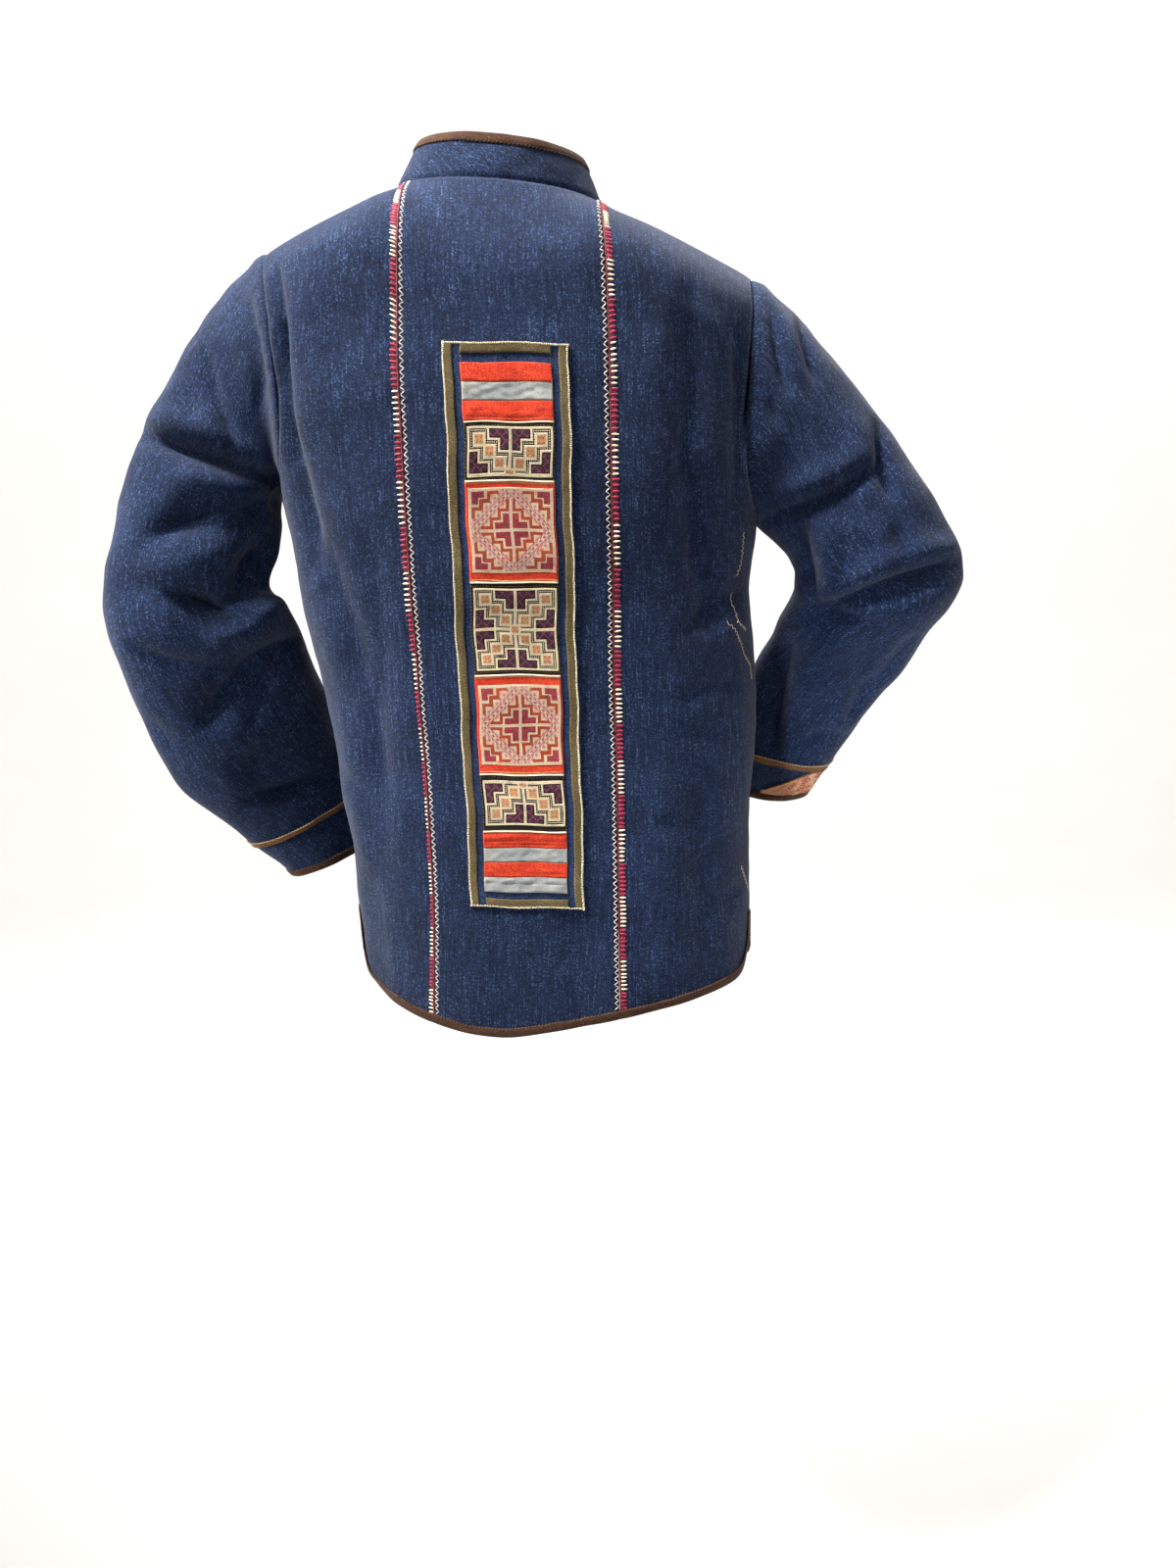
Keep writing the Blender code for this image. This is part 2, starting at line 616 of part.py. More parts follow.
def body_loop(back, under, fore, side):
    """The armhole's edge as a closed loop: from the top down the back, under, and up the front."""
    _, low = levels_of(side)
    pit = low + 1
    down = back[-1 : pit - 1 : -1, -1] if pit else back[::-1, -1]
    return np.concatenate([down, under[-1, 1:-1], fore[pit:-1, -1]]), len(down)


def sleeve_rings(side, loop, down):
    """Rings of points from the armhole to the cuff's edge, each with the loop's count of points."""
    rows = np.array(SLEEVE[side])
    outer, inner, half = rows[:, 0:3], rows[:, 3:6], rows[:, 6]
    steps = np.linalg.norm(np.roll(loop, -1, 0) - loop, axis=1)
    run = np.concatenate([[0], np.cumsum(steps)]) / steps.sum()
    count, lowest = np.arange(len(loop)), down + 0.5
    by_run = np.interp(run[:-1], [0, np.interp(lowest, np.arange(len(run)), run), 1], [0, np.pi, 2 * np.pi])
    by_count = np.interp(count, [0, lowest, len(loop)], [0, np.pi, 2 * np.pi])
    turn = 0.35 * by_count + 0.65 * by_run
    centre, reach = (outer + inner) / 2, (outer - inner) / 2
    axis = unit(np.gradient(centre, axis=0))
    deep = unit(np.cross(reach, axis))
    deep *= -np.sign(deep[:, 1:2])
    deep[:, 1] = -np.abs(deep[:, 1])
    c, s = np.cos(turn), np.sin(turn)
    size = (np.abs(c) ** 2.2 + np.abs(s) ** 2.2) ** (-1 / 2.2)
    rings = (centre[:, None] + reach[:, None] * (c * size)[None, :, None]
             + deep[:, None] * half[:, None, None] * (s * size)[None, :, None])
    return np.concatenate([loop[None], rings]), turn


def folded_sleeve(rings, side, turn):
    way = 1 if side == "right" else -1
    normal = normals_of(rings, closed=True)
    middle = rings.mean(axis=1, keepdims=True)
    flip = np.sign((normal * (rings - middle)).sum(-1).sum(-1))
    normal = normal * flip[:, None, None]
    height = ridge(rings[..., [0, 2]], SLEEVE_FOLDS[side, "back"]) * ease((np.sin(turn) + 0.1) / 0.5)
    height += ridge(rings[..., [0, 2]], SLEEVE_FOLDS[side, "front"]) * ease((0.1 - np.sin(turn)) / 0.5)
    number = np.arange(len(rings))
    fade = np.clip(number / 2, 0, 1) * np.clip((len(rings) - 3 - number) / 2, 0, 1)
    return rings + normal * (height * fade[:, None])[..., None]


def facing_out(grid, closed=False):
    """True if the grid's own normals point away from its middle."""
    n = normals_of(grid, closed)
    return ((n * (grid - grid.mean(axis=(0, 1)))).sum() > 0)


def build():
    clear_scene()
    grids = {}
    # Back: the middle strip, its levels set by the panel that is sewn on it.
    offsets = (-0.5, -0.46, -0.39, -0.30, -0.225, -0.11, 0, 0.11, 0.225, 0.30, 0.39, 0.46, 0.5)
    columns = []
    for offset in offsets:
        def angle_at(z, offset=offset):
            left, right = body_at(z)[5:7]
            width = right - left - GAP
            return angle_of((left + right) / 2 + width * offset, z)
        x, y = (float(v) for v in around(angle_at(-0.69), -0.69))
        columns.append(column(angle_at, "back", [hem_height(x, y), *LEVELS], CAPS))
    middle = np.array(columns).transpose(1, 0, 2)
    grids["back_middle"] = folded_body(middle, "back")
    loops = {}
    for side in ("left", "right"):
        back, under, fore = side_strip(side), side_panel(side), front(side)
        grids[f"back_{side}"], grids[f"side_{side}"], grids[f"front_{side}"] = back, under, fore
        loops[side] = body_loop(back, under, fore, side)
    normals = {n: normals_of(g) * (1 if facing_out_body(g) else -1) for n, g in grids.items()}
    for side in ("left", "right"):
        last = grids[f"side_{side}"].shape[0]
        seam = 0 if side == "left" else -1
        share(normals, ("back_middle", (slice(None), seam)), (f"back_{side}", (slice(None), 0)))
        share(normals, (f"back_{side}", (slice(0, last), -1)), (f"side_{side}", (slice(None), 0)))
        share(normals, (f"front_{side}", (slice(0, last), -1)), (f"side_{side}", (slice(None), -1)))
        for name in (f"back_{side}", f"front_{side}"):
            over = np.abs(grids[name][-1, :, 0] - NECK[0]) > 0.97 * NECK[2]
            normals[name][-1, over, 1] = 0
            normals[name][-1] = unit(normals[name][-1])
    for name, grid in grids.items():
        walled(name, grid, normals[name], "indigo")

    # Sleeves and cuffs.
    for side in ("left", "right"):
        rings, turn = sleeve_rings(side, *loops[side])
        away = unit(rings[1] - rings[0]) * GAP * 1.2
        away[:, 0] += GAP * 1.2 * (1 if side == "right" else -1)
        rings[0] += away
        rings = folded_sleeve(rings, side, turn)
        if not facing_out(rings, True):
            rings, turn = rings[:, ::-1], turn[::-1]
        last = len(rings) - 3
        tube = rings[: last + 1].copy()
        tube[-1] -= unit(tube[-1] - tube[-2]) * GAP
        sheet(f"sleeve_{side}", tube, "indigo", closed=True)
        cuff = rings[last:]
        sheet(f"cuff_{side}", cuff, "indigo", closed=True)
        out = normals_of(cuff, True)
        line = cuff[:2].copy() + out[:2] * (GAP + PLY)
        sheet(f"cuff_line_{side}", line, "brown", PLY, closed=True)
        into = unit(cuff[-2] - cuff[-1])
        binding(f"cuff_binding_{side}", cuff[-1], out[-1], into, ply=CLOTH + 2 * GAP, closed=True)
        grids[f"cuff_{side}"] = cuff
        # The embroidered patch lies on the outer and front part of the cuff, with a slanting end.
        ways = np.degrees((turn + np.pi) % (2 * np.pi) - np.pi)
        picked = [k for k in np.argsort(ways) if -100 < ways[k] < (62 if side == "right" else -6)]
        down = unit(cuff[2] - cuff[1])
        length = np.linalg.norm(cuff[2] - cuff[1], axis=1)
        strip = []
        for k in picked:
            slant = np.clip((ways[k] - (8 if side == "right" else -50)) / 56, 0, 0.93)
            start = 0.0012 + slant * (length[k] - BIND - 0.0030)
            end = length[k] - BIND - 0.0008
            strip.append([cuff[1, k] + down[k] * d + out[1, k] * (2 * GAP + PLY) for d in (start, end)])
        patch = np.array(strip).transpose(1, 0, 2)
        flip = (normals_of(patch) * out[1, picked]).sum() < 0
        sheet(f"cuff_patch_{side}", patch, "peach", PLY, flip=flip)

    # The collar, standing on the neck seam, and its binding.
    turns = np.linspace(-90 + 2.2, 270 - 2.2, 33)
    ring = []
    for level in (0.0, 0.5, 1.0):
        a = np.radians(turns)
        shrink = 1 - 0.20 * level
        x = NECK[0] + NECK[2] * shrink * np.cos(a)
        y = NECK[1] - NECK[3] * (1 - 0.12 * level) * np.sin(a)
        y = y + 0.05 * x
        xb, yb = NECK[0] + NECK[2] * np.cos(a), -NECK[3] * np.sin(a)
        z = neck_height(xb, yb + 0.05 * xb) + (2 if level else 3) * GAP
        z = z + level * (COLLAR_HIGH - 2 * GAP - PLY)
        ring.append(np.stack([x + 0.002 * level, y, z], -1))
    ring = np.array(ring)
    sheet("collar", ring, "indigo", 0.0020, flip=not facing_out(ring))
    out = normals_of(ring)
    out *= 1 if facing_out(ring) else -1
    into = unit(ring[-2] - ring[-1])
    binding("collar_binding", ring[-1] - out[-1] * 0.0002, out[-1], into, ply=0.0020)

    # Bindings of the hem, the slits and the front edges.
    def gather(parts):
        path = np.concatenate([grids[n][i] for n, i in parts])
        out = np.concatenate([normals[n][i] for n, i in parts])
        return path, out

    top = SLIT_LEVEL + 1
    path, out = gather([
        ("back_left", (slice(top, 0, -1), -1)),
        ("back_left", (0, slice(None, None, -1))),
        ("back_middle", (0, slice(1, -1))),
        ("back_right", (0, slice(None))),
        ("back_right", (slice(1, top + 1), -1)),
    ])
    binding("hem_binding_back", path, out, into_body(path, out, [0, 0, 1]))
    for side in ("left", "right"):
        path, out = gather([
            (f"front_{side}", (slice(-1, 0, -1), 0)),
            (f"front_{side}", (0, slice(None))),
            (f"side_{side}", (0, slice(-2, None, -1))),
            (f"side_{side}", (slice(1, top + 1), 0)),
        ])
        binding(f"edge_binding_{side}", path, out, into_body(path, out, [0, 0, 1]), ply=CLOTH + GAP)

    panel(grids["back_middle"], normals["back_middle"], offsets)


def facing_out_body(grid):
    n = normals_of(grid)
    return (n * (grid - [0.02, 0.0, 0])).dot([1, 1, 0]).sum() > 0


def panel(base, normal, offsets):
    """The panel's ground and what is sewn on it, from the middle strip's own points."""
    heights = base[:, len(offsets) // 2, 2]

    def level(z):
        return float(np.interp(z, heights, np.arange(len(heights))))

    def place(w):
        return float(np.interp(w / STRIP, offsets, np.arange(len(offsets))))

    def piece(name, top, bottom, left, right, lift, cloth):
        a, b = level(bottom), level(top)
        up = [a] + [k for k in range(len(heights)) if a + 0.02 < k < b - 0.02] + [b]
        c, d = place(left), place(right)
        across = [c] + [k for k in range(len(offsets)) if c + 0.02 < k < d - 0.02] + [d]
        grid = laid_on(base, normal, across, up, lift)
        flip = (normals_of(grid) * normal[5, 4]).sum() < 0
        sheet(name, grid, cloth, PLY, flip=flip)

    half = PANEL_WIDE / 2
    under, over = GAP + PLY, 2 * (GAP + PLY)
    piece("panel_ground", PANEL_TOP, PANEL_BOTTOM, -half, half, under, "navy")
    g = GAP / 2
    side = half - OLIVE
    piece("border_left", PANEL_TOP, PANEL_BOTTOM, -half, -side - g, over, "olive")
    piece("border_right", PANEL_TOP, PANEL_BOTTOM, side + g, half, over, "olive")
    inner = side - NAVY
    piece("border_top", PANEL_TOP, PANEL_TOP - OLIVE, -inner + g, inner - g, over, "olive")
    piece("border_bottom", PANEL_BOTTOM + OLIVE, PANEL_BOTTOM, -inner + g, inner - g, over, "olive")
    for name, top, bottom, cloth in ROWS:
        piece(name, top - g, bottom + g, -inner, inner, over, cloth)


build()
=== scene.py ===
# %% [markdown]
# # An embroidered hemp jacket, seen from behind
# The jacket is worn with the hands on the hips, so its sleeves are bent and its body is hollow.
# The frame gives each cut piece as a plain solid. Here each piece is made again as cloth on the
# same form: the same short tables of sections are sampled finely, and folds, weave and sewing
# are added. Everything is in metres, with +X the wearer's right, +Y ahead and +Z up.

import math

import bpy
import numpy as np
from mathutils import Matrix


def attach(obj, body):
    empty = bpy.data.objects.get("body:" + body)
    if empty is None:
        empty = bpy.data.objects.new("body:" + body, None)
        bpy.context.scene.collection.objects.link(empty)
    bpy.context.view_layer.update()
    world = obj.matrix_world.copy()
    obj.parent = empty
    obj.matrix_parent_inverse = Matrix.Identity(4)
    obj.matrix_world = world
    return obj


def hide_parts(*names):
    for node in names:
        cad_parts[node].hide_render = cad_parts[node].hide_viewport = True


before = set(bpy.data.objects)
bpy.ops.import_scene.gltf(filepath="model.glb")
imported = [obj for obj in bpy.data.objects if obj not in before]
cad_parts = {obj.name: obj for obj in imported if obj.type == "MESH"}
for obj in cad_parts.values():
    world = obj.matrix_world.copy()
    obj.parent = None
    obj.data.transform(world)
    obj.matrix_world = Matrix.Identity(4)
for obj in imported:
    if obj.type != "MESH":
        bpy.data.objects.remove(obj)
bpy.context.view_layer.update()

# %% [markdown]
# ## Camera
# The camera stands a metre behind the jacket at the height of its waist and looks a little down.

# %% Camera
CAMERA_PLACE = (0.068, -1.049, -0.262)
CAMERA_DOWN = math.radians(12.4)

camera = bpy.data.objects.new("camera", bpy.data.cameras.new("camera"))
bpy.context.scene.collection.objects.link(camera)
camera.location = CAMERA_PLACE
camera.rotation_euler = (math.pi / 2 - CAMERA_DOWN, 0, 0)
camera.data.lens, camera.data.sensor_width = 27, 36
camera.data.clip_start = 0.05
bpy.context.scene.camera = camera
print("camera", CAMERA_PLACE, "lens", camera.data.lens)

# %% [markdown]
# ## Colour and nodes
# Colours are written as sRGB hex values, as in a paint program, and turned to the linear numbers
# that a shader takes. One small function adds a node, sets it and links it.

# %% Helpers for materials


def linear(colour):
    """Linear red, green, blue and alpha of an sRGB hex value."""
    parts = [int(colour[i : i + 2], 16) / 255 for i in (1, 3, 5)]
    return [p / 12.92 if p <= 0.04045 else ((p + 0.055) / 1.055) ** 2.4 for p in parts] + [1]


def add(tree, kind, settings=None, **links):
    """Adds a node. A link's name is the input's name or number, with _ for a space."""
    made = tree.nodes.new("ShaderNode" + kind)
    for key, value in (settings or {}).items():
        setattr(made, key, value)
    for key, value in links.items():
        name = key.lstrip("_").replace("_", " ")
        socket = made.inputs[int(name)] if name.isdigit() else made.inputs[name]
        if isinstance(value, bpy.types.NodeSocket):
            tree.links.new(value, socket)
        elif isinstance(value, bpy.types.Node):
            tree.links.new(value.outputs[0], socket)
        else:
            socket.default_value = value
    return made


def new_material(name):
    """(material, node tree) with only an output node in it."""
    made = bpy.data.materials.new(name)
    made.use_nodes = True
    made.node_tree.nodes.remove(made.node_tree.nodes["Principled BSDF"])
    return made, made.node_tree


def finish_material(tree, **sockets):
    """The principled shader at the end of a material."""
    shader = add(tree, "BsdfPrincipled", None, **sockets)
    tree.links.new(shader.outputs[0], tree.nodes["Material Output"].inputs["Surface"])


# %% [markdown]
# ## Hand-woven cloth
# The jacket is hemp, spun and woven by hand and dyed with indigo. Its yarns vary in thickness and
# take the dye unevenly, so the cloth is a field of small lighter and darker crossings with longer
# streaks along the yarns. The material counts yarns from the UV map, which is in metres: whole
# numbers name a yarn, and a white noise on two whole numbers gives each crossing its own shade.
# About eleven yarns lie in a centimetre on the real cloth, and the weave is drawn at that size.

# %% Woven cloth


def woven(name, dark, middle, light, fleck, pitch=0.0006, streak=0.3, patchy=0.3, depth=0.0001):
    """Cloth of yarns at a pitch in metres. The colours run from the darkest yarns to the flecks.

    streak is how much whole yarns differ in shade, patchy how much broad patches do, and depth
    the height of the weave in metres.
    """
    made, tree = new_material(name)
    uv = add(tree, "UVMap", {"uv_map": "cloth"})
    wander = add(tree, "TexNoise", {"noise_dimensions": "2D"}, Vector=uv, Scale=45.0, Detail=2.0)
    scaled = add(tree, "VectorMath", {"operation": "SCALE"}, _0=uv, Scale=1 / pitch)
    shift = add(tree, "VectorMath", {"operation": "SCALE"}, _0=wander.outputs["Color"], Scale=0.9)
    yarns = add(tree, "VectorMath", {"operation": "ADD"}, _0=scaled, _1=shift)
    whole = add(tree, "VectorMath", {"operation": "FLOOR"}, _0=yarns)
    crossing = add(tree, "TexWhiteNoise", {"noise_dimensions": "2D"}, Vector=whole)
    axes = add(tree, "SeparateXYZ", None, _0=yarns)
    number = add(tree, "SeparateXYZ", None, _0=whole)
    # Long thin noise: along a warp yarn, and along a weft yarn.
    short_v = add(tree, "Math", {"operation": "MULTIPLY"}, _0=axes.outputs[1], _1=0.04)
    warp_at = add(tree, "CombineXYZ", None, X=number.outputs[0], Y=short_v)
    warp = add(tree, "TexNoise", {"noise_dimensions": "2D"}, Vector=warp_at, Scale=0.77, Detail=1.0)
    short_u = add(tree, "Math", {"operation": "MULTIPLY"}, _0=axes.outputs[0], _1=0.07)
    weft_at = add(tree, "CombineXYZ", None, X=short_u, Y=number.outputs[1])
    weft = add(tree, "TexNoise", {"noise_dimensions": "2D"}, Vector=weft_at, Scale=0.83, Detail=1.0)
    broad = add(tree, "TexNoise", {"noise_dimensions": "2D"}, Vector=uv, Scale=22.0, Detail=3.0)
    # In a plain weave each crossing shows the warp yarn or the weft yarn, by turns.
    both = add(tree, "Math", {"operation": "ADD"}, _0=number.outputs[0], _1=number.outputs[1])
    turn = add(tree, "Math", {"operation": "PINGPONG"}, _0=both, _1=1.0)
    turn = add(tree, "Math", {"operation": "MULTIPLY"}, _0=turn, _1=0.55)
    yarn_tone = add(tree, "Mix", {"data_type": "FLOAT"}, Factor=turn, _2=warp.outputs[0],
                    _3=weft.outputs[0])
    tone = add(tree, "Mix", {"data_type": "FLOAT"}, Factor=1 - streak, _2=yarn_tone.outputs[0],
               _3=crossing.outputs["Value"])
    tone = add(tree, "Mix", {"data_type": "FLOAT"}, Factor=patchy, _2=tone.outputs[0],
               _3=broad.outputs[0])
    ramp = add(tree, "ValToRGB", None, Fac=tone.outputs[0])
    stops = ramp.color_ramp.elements
    stops[0].position, stops[0].color = 0.26, linear(dark)
    stops[1].position, stops[1].color = 0.80, linear(fleck)
    for place, colour in ((0.47, middle), (0.64, light)):
        stops.new(place).color = linear(colour)
    # A yarn's round back, over and under: the product of two sine waves is a plain weave.
    waves = []
    for axis in axes.outputs[:2]:
        angle = add(tree, "Math", {"operation": "MULTIPLY"}, _0=axis, _1=math.pi)
        waves.append(add(tree, "Math", {"operation": "SINE"}, _0=angle))
    weave = add(tree, "Math", {"operation": "MULTIPLY"}, _0=waves[0], _1=waves[1])
    height = add(tree, "Math", {"operation": "MULTIPLY_ADD"}, _0=weave, _1=0.35, _2=tone.outputs[0])
    bump = add(tree, "Bump", None, Height=height, Distance=depth, Strength=1.0)
    # Washed cloth is matt, with a faint bloom of loose fibres where it turns away.
    finish_material(tree, Base_Color=ramp.outputs[0], Roughness=0.9, IOR=1.5, Normal=bump,
                    Sheen_Weight=0.1, Sheen_Roughness=0.5, Specular_IOR_Level=0.15)
    return made


CLOTH = {
    # Indigo hemp, dyed many times and washed: matt, deep blue, with pale flecks on its thick yarns.
    "indigo": woven("indigo hemp, hand woven", "#0B1124", "#14213D", "#1F3355", "#4E648E",
                    pitch=0.0009, streak=0.58, patchy=0.12, depth=0.00016),
    # Brown cotton strip for the bindings, cut from plain cloth and rubbed soft at the fold.
    "brown": woven("brown cotton binding", "#2C1C14", "#432E22", "#52392C", "#705442",
                   streak=0.45, patchy=0.25),
    # A lighter, warmer brown strip, matt and fine, lies over the seam of each cuff.
    "tan": woven("tan cotton strip", "#4C311E", "#704A2E", "#865E3E", "#A67E58",
                 streak=0.45, patchy=0.25),
    # Olive cotton for the panel's border, faded in patches.
    "olive": woven("olive cotton strip", "#463E26", "#5E5238", "#706446", "#908664", patchy=0.45),
    # Finer factory cotton, smooth and a little more violet than the hemp.
    "navy": woven("navy cotton", "#141C38", "#203050", "#2C3E64", "#465A86"),
    # Bright cotton with a dry surface, worn a little paler where it is crumpled.
    "orange": woven("orange-red cotton", "#B22E1A", "#D23A24", "#E04A30", "#F07652", patchy=0.35),
    # An old blue cotton that has washed out to a blotchy pale grey.
    "grey": woven("pale blue-grey cotton", "#747C82", "#9A9FA0", "#B8B6AE", "#DED8CC",
                  pitch=0.0007, streak=0.4, patchy=0.75),
    # Close black cotton, almost without light on it, under the cross stitch.
    "black": woven("black cotton", "#0B0A09", "#171512", "#221F1A", "#3A352D"),
    # Soft cotton under the needlework of the cuffs.
    "peach": woven("peach cotton", "#B07048", "#D08C64", "#DE9E78", "#EEBE9A", patchy=0.4),
}
print(len(CLOTH), "cloths")

# %% [markdown]
# ## Embroidery thread
# Silk and cotton floss has a soft gloss along its length and frays a little. Its shade changes
# slowly along each stitch, and a fine bump stands for its twist.

# %% Thread


def thread(name, colour, shade):
    """Floss or sewing thread, from its colour in the light to its shade between the strands."""
    made, tree = new_material(name)
    place = add(tree, "TexCoord").outputs["Object"]
    slow = add(tree, "TexNoise", None, Vector=place, Scale=420.0, Detail=2.0)
    ramp = add(tree, "ValToRGB", None, Fac=slow.outputs[0])
    ramp.color_ramp.elements[0].position, ramp.color_ramp.elements[0].color = 0.32, linear(shade)
    ramp.color_ramp.elements[1].position, ramp.color_ramp.elements[1].color = 0.62, linear(colour)
    twist = add(tree, "TexNoise", None, Vector=place, Scale=3000.0, Detail=1.0)
    bump = add(tree, "Bump", None, Height=twist.outputs[0], Distance=0.0001, Strength=0.7)
    finish_material(tree, Base_Color=ramp.outputs[0], Roughness=0.55, IOR=1.53, Normal=bump,
                    Sheen_Weight=0.12, Specular_IOR_Level=0.4)
    return made


THREAD = {
    "cream": thread("cream silk floss", "#FFF6DC", "#FFEABC"),
    "white": thread("off-white cotton thread", "#EEE0D4", "#D0BEAC"),
    "crimson": thread("crimson silk floss", "#B92450", "#7E1234"),
    "wine": thread("wine-red cord", "#7A2238", "#4C1222"),
    "gold": thread("gold silk thread", "#E4C8A6", "#BC966A"),
    "peach": thread("peach silk floss", "#F2C08C", "#DCA070"),
    "russet": thread("russet silk floss", "#B4684A", "#8A452E"),
    "rust": thread("rust silk floss", "#D25A30", "#AE4020"),
    "pink": thread("pale pink silk floss", "#F0ACB0", "#E09098"),
    "magenta": thread("magenta silk floss", "#D45C92", "#A83A6C"),
    "plum": thread("plum silk floss", "#3E0A2C", "#22061A"),
    "rose": thread("rose silk floss", "#C03A50", "#8E2038"),
    "ochre": thread("ochre cotton thread", "#C8A468", "#9A7A46"),
    "orange": thread("orange silk floss", "#F0632E", "#D24A20"),
    "blue": thread("blue sewing thread", "#5C73A4", "#3A4C78"),
    "dark": thread("dark blue sewing thread", "#141C30", "#0C1220"),
    "brown": thread("brown sewing thread", "#8A6448", "#5E402C"),
}
print(len(THREAD), "threads")


# %% [markdown]
# ## The form
# The cut is worked out from a few sizes, a row of sizes for each height of the body, and a row
# for each ring of a sleeve. The body is a rounded oval that the rows squeeze and shift, closed at
# the top by curved caps at the neck and shoulders. These are the same sizes as the solids have.
# The long tables are in millimetres and are divided once, where they are used.

# %% Sizes and tables
WALL = 0.0016  # the indigo cloth
PLY = 0.0010  # a strip that is sewn on
GAP = 0.0003  # space between sewn pieces
UNDER, OVER = GAP + PLY, 2 * (GAP + PLY)  # height of one strip's face, and of two on each other
BIND = 0.0070  # depth of a bound edge
SQUARE = 2.4  # 2 gives an ellipse, and more gives a squarer body
SLEEVE_SQUARE = 2.2
NECK = (-0.004, 0.0, 0.084, 0.061)  # centre x, centre y, half width, half depth of the collar seam
# The collar seam's slope to the right, its slope ahead, and how fast and from where it then falls.
NECK_DROP = (-0.06, 0.01, 9.0, 0.055)
NECK_TURN = 0.05  # how far the neck and the shoulders are turned, as a slope
COLLAR_HIGH = 0.034
PIT = {"left": -0.236, "right": -0.258}  # lowest point of each armhole
SHOULDER = {"left": -0.045, "right": -0.060}  # highest point of each armhole
SHOULDER_AT = {"left": -0.196, "right": 0.206}  # x of each shoulder's point
CAP_TURN = {"back": 52, "front": 58}  # degrees that the cap turns through at the middle of the neck
SLIT = -0.600  # top of the slit at each side
SIDE_RADIUS = 0.12  # roughly, at the sides: it turns a distance into an angle
HEM, NEAR_HEM = -0.690, -0.68  # the hem at the middle of the back, and where a column is over it
CLOSE_FROM = -0.1275  # above this height the levels close up under the shoulder
ROW_SPACE = 0.004  # least space between the coarse rows at the hem
SIDES = ("left", "right")
MM = 1000  # millimetres in a metre

# ---------- the body, a row per height
# z, left x, right x, back y, front y, turn in thousandths, left seam x, right seam x
BODY = (
    (-700, -141, 216, -116, 122, -50, -65, 96),
    (-650, -142, 217, -113, 120, -50, -64, 95),
    (-600, -144, 216, -111, 118, -40, -63, 94),
    (-550, -147, 214, -108, 115, -30, -63, 93),
    (-500, -153, 215, -106, 111, -10, -65, 92),
    (-450, -158, 217, -104, 108, 0, -67, 91),
    (-400, -165, 219, -103, 106, 20, -69, 89),
    (-350, -176, 213, -104, 106, 30, -71, 88),
    (-318, -180, 209, -106, 107, 40, -72, 88),
    (-285, -184, 214, -108, 108, 50, -73, 87),
    (-240, -190, 217, -109, 107, 60, -74, 86),
    (-190, -200, 220, -109, 103, 70, -75, 85),
    (-140, -205, 223, -106, 97, 80, -76, 84),
    (-100, -208, 225, -102, 91, 80, -76, 83),
    (-60, -215, 228, -96, 83, 80, -75, 81),
    (-20, -220, 232, -88, 74, 80, -75, 78),
    (20, -224, 236, -80, 66, 80, -75, 77),
)

# ---------- the sleeves, a row per ring: the outer point, the inner point and half the thickness
# outer x, outer y, outer z, inner x, inner y, inner z, half
SLEEVE = {
    "left": (
        (-222, -5, -61, -196, 0, -240, 56),
        (-244, -10, -84, -197, 0, -247, 53),
        (-261, -15, -108, -197, -2, -254, 50),
        (-277, -20, -135, -197, -4, -261, 48),
        (-291, -25, -161, -198, -6, -268, 46),
        (-303, -30, -183, -199, -8, -276, 45),
        (-312, -34, -205, -200, -10, -284, 45),
        (-320, -38, -233, -202, -12, -294, 45),
        (-329, -42, -265, -205, -14, -303, 45),
        (-338, -45, -297, -207, -15, -310, 45),
        (-343, -45, -323, -207, -15, -316, 45),
        (-341, -44, -351, -203, -12, -322, 44),
        (-336, -40, -376, -196, -6, -331, 43),
        (-330, -34, -402, -190, 2, -345, 42),
        (-323, -26, -434, -186, 14, -362, 40),
        (-314, -16, -468, -184, 28, -384, 38),
        (-302, -6, -499, -178, 44, -410, 36),
        (-282, 4, -520, -172, 60, -440, 34),
        (-264, 12, -537, -164, 76, -472, 33),
        (-250, 20, -554, -156, 90, -506, 32),
        (-244, 23, -560, -153, 93, -513, 32),
        (-214, 32, -590, -137, 108, -560, 30),
    ),
    "right": (
        (224, 10, -71, 216, 6, -262, 56),
        (244, 10, -88, 222, 6, -268, 53),
        (265, 8, -111, 230, 6, -275, 50),
        (286, 6, -135, 237, 6, -281, 48),
        (306, 4, -159, 243, 6, -286, 46),
        (326, 2, -183, 247, 8, -291, 45),
        (346, 0, -208, 250, 10, -297, 45),
        (364, -2, -234, 252, 12, -302, 45),
        (381, -3, -260, 252, 15, -308, 45),
        (395, -3, -283, 252, 19, -314, 45),
        (399, 0, -305, 253, 24, -320, 45),
        (392, 6, -323, 253, 32, -327, 44),
        (381, 14, -342, 250, 44, -336, 43),
        (373, 23, -361, 245, 58, -347, 42),
        (363, 34, -385, 243, 74, -361, 40),
        (347, 48, -413, 235, 90, -381, 38),
        (331, 62, -440, 226, 106, -407, 36),
        (319, 78, -468, 215, 120, -439, 34),
        (309, 92, -488, 205, 130, -468, 32),
        (305, 96, -494, 201, 133, -475, 32),
        (289, 116, -527, 186, 146, -511, 30),
    ),
}

# %% [markdown]
# ## Curves and surfaces
# A smooth curve runs through each column of a table, so a few rows are enough. The angle round
# the body and the height give a point of its surface.

# %% Curves and the body's surface


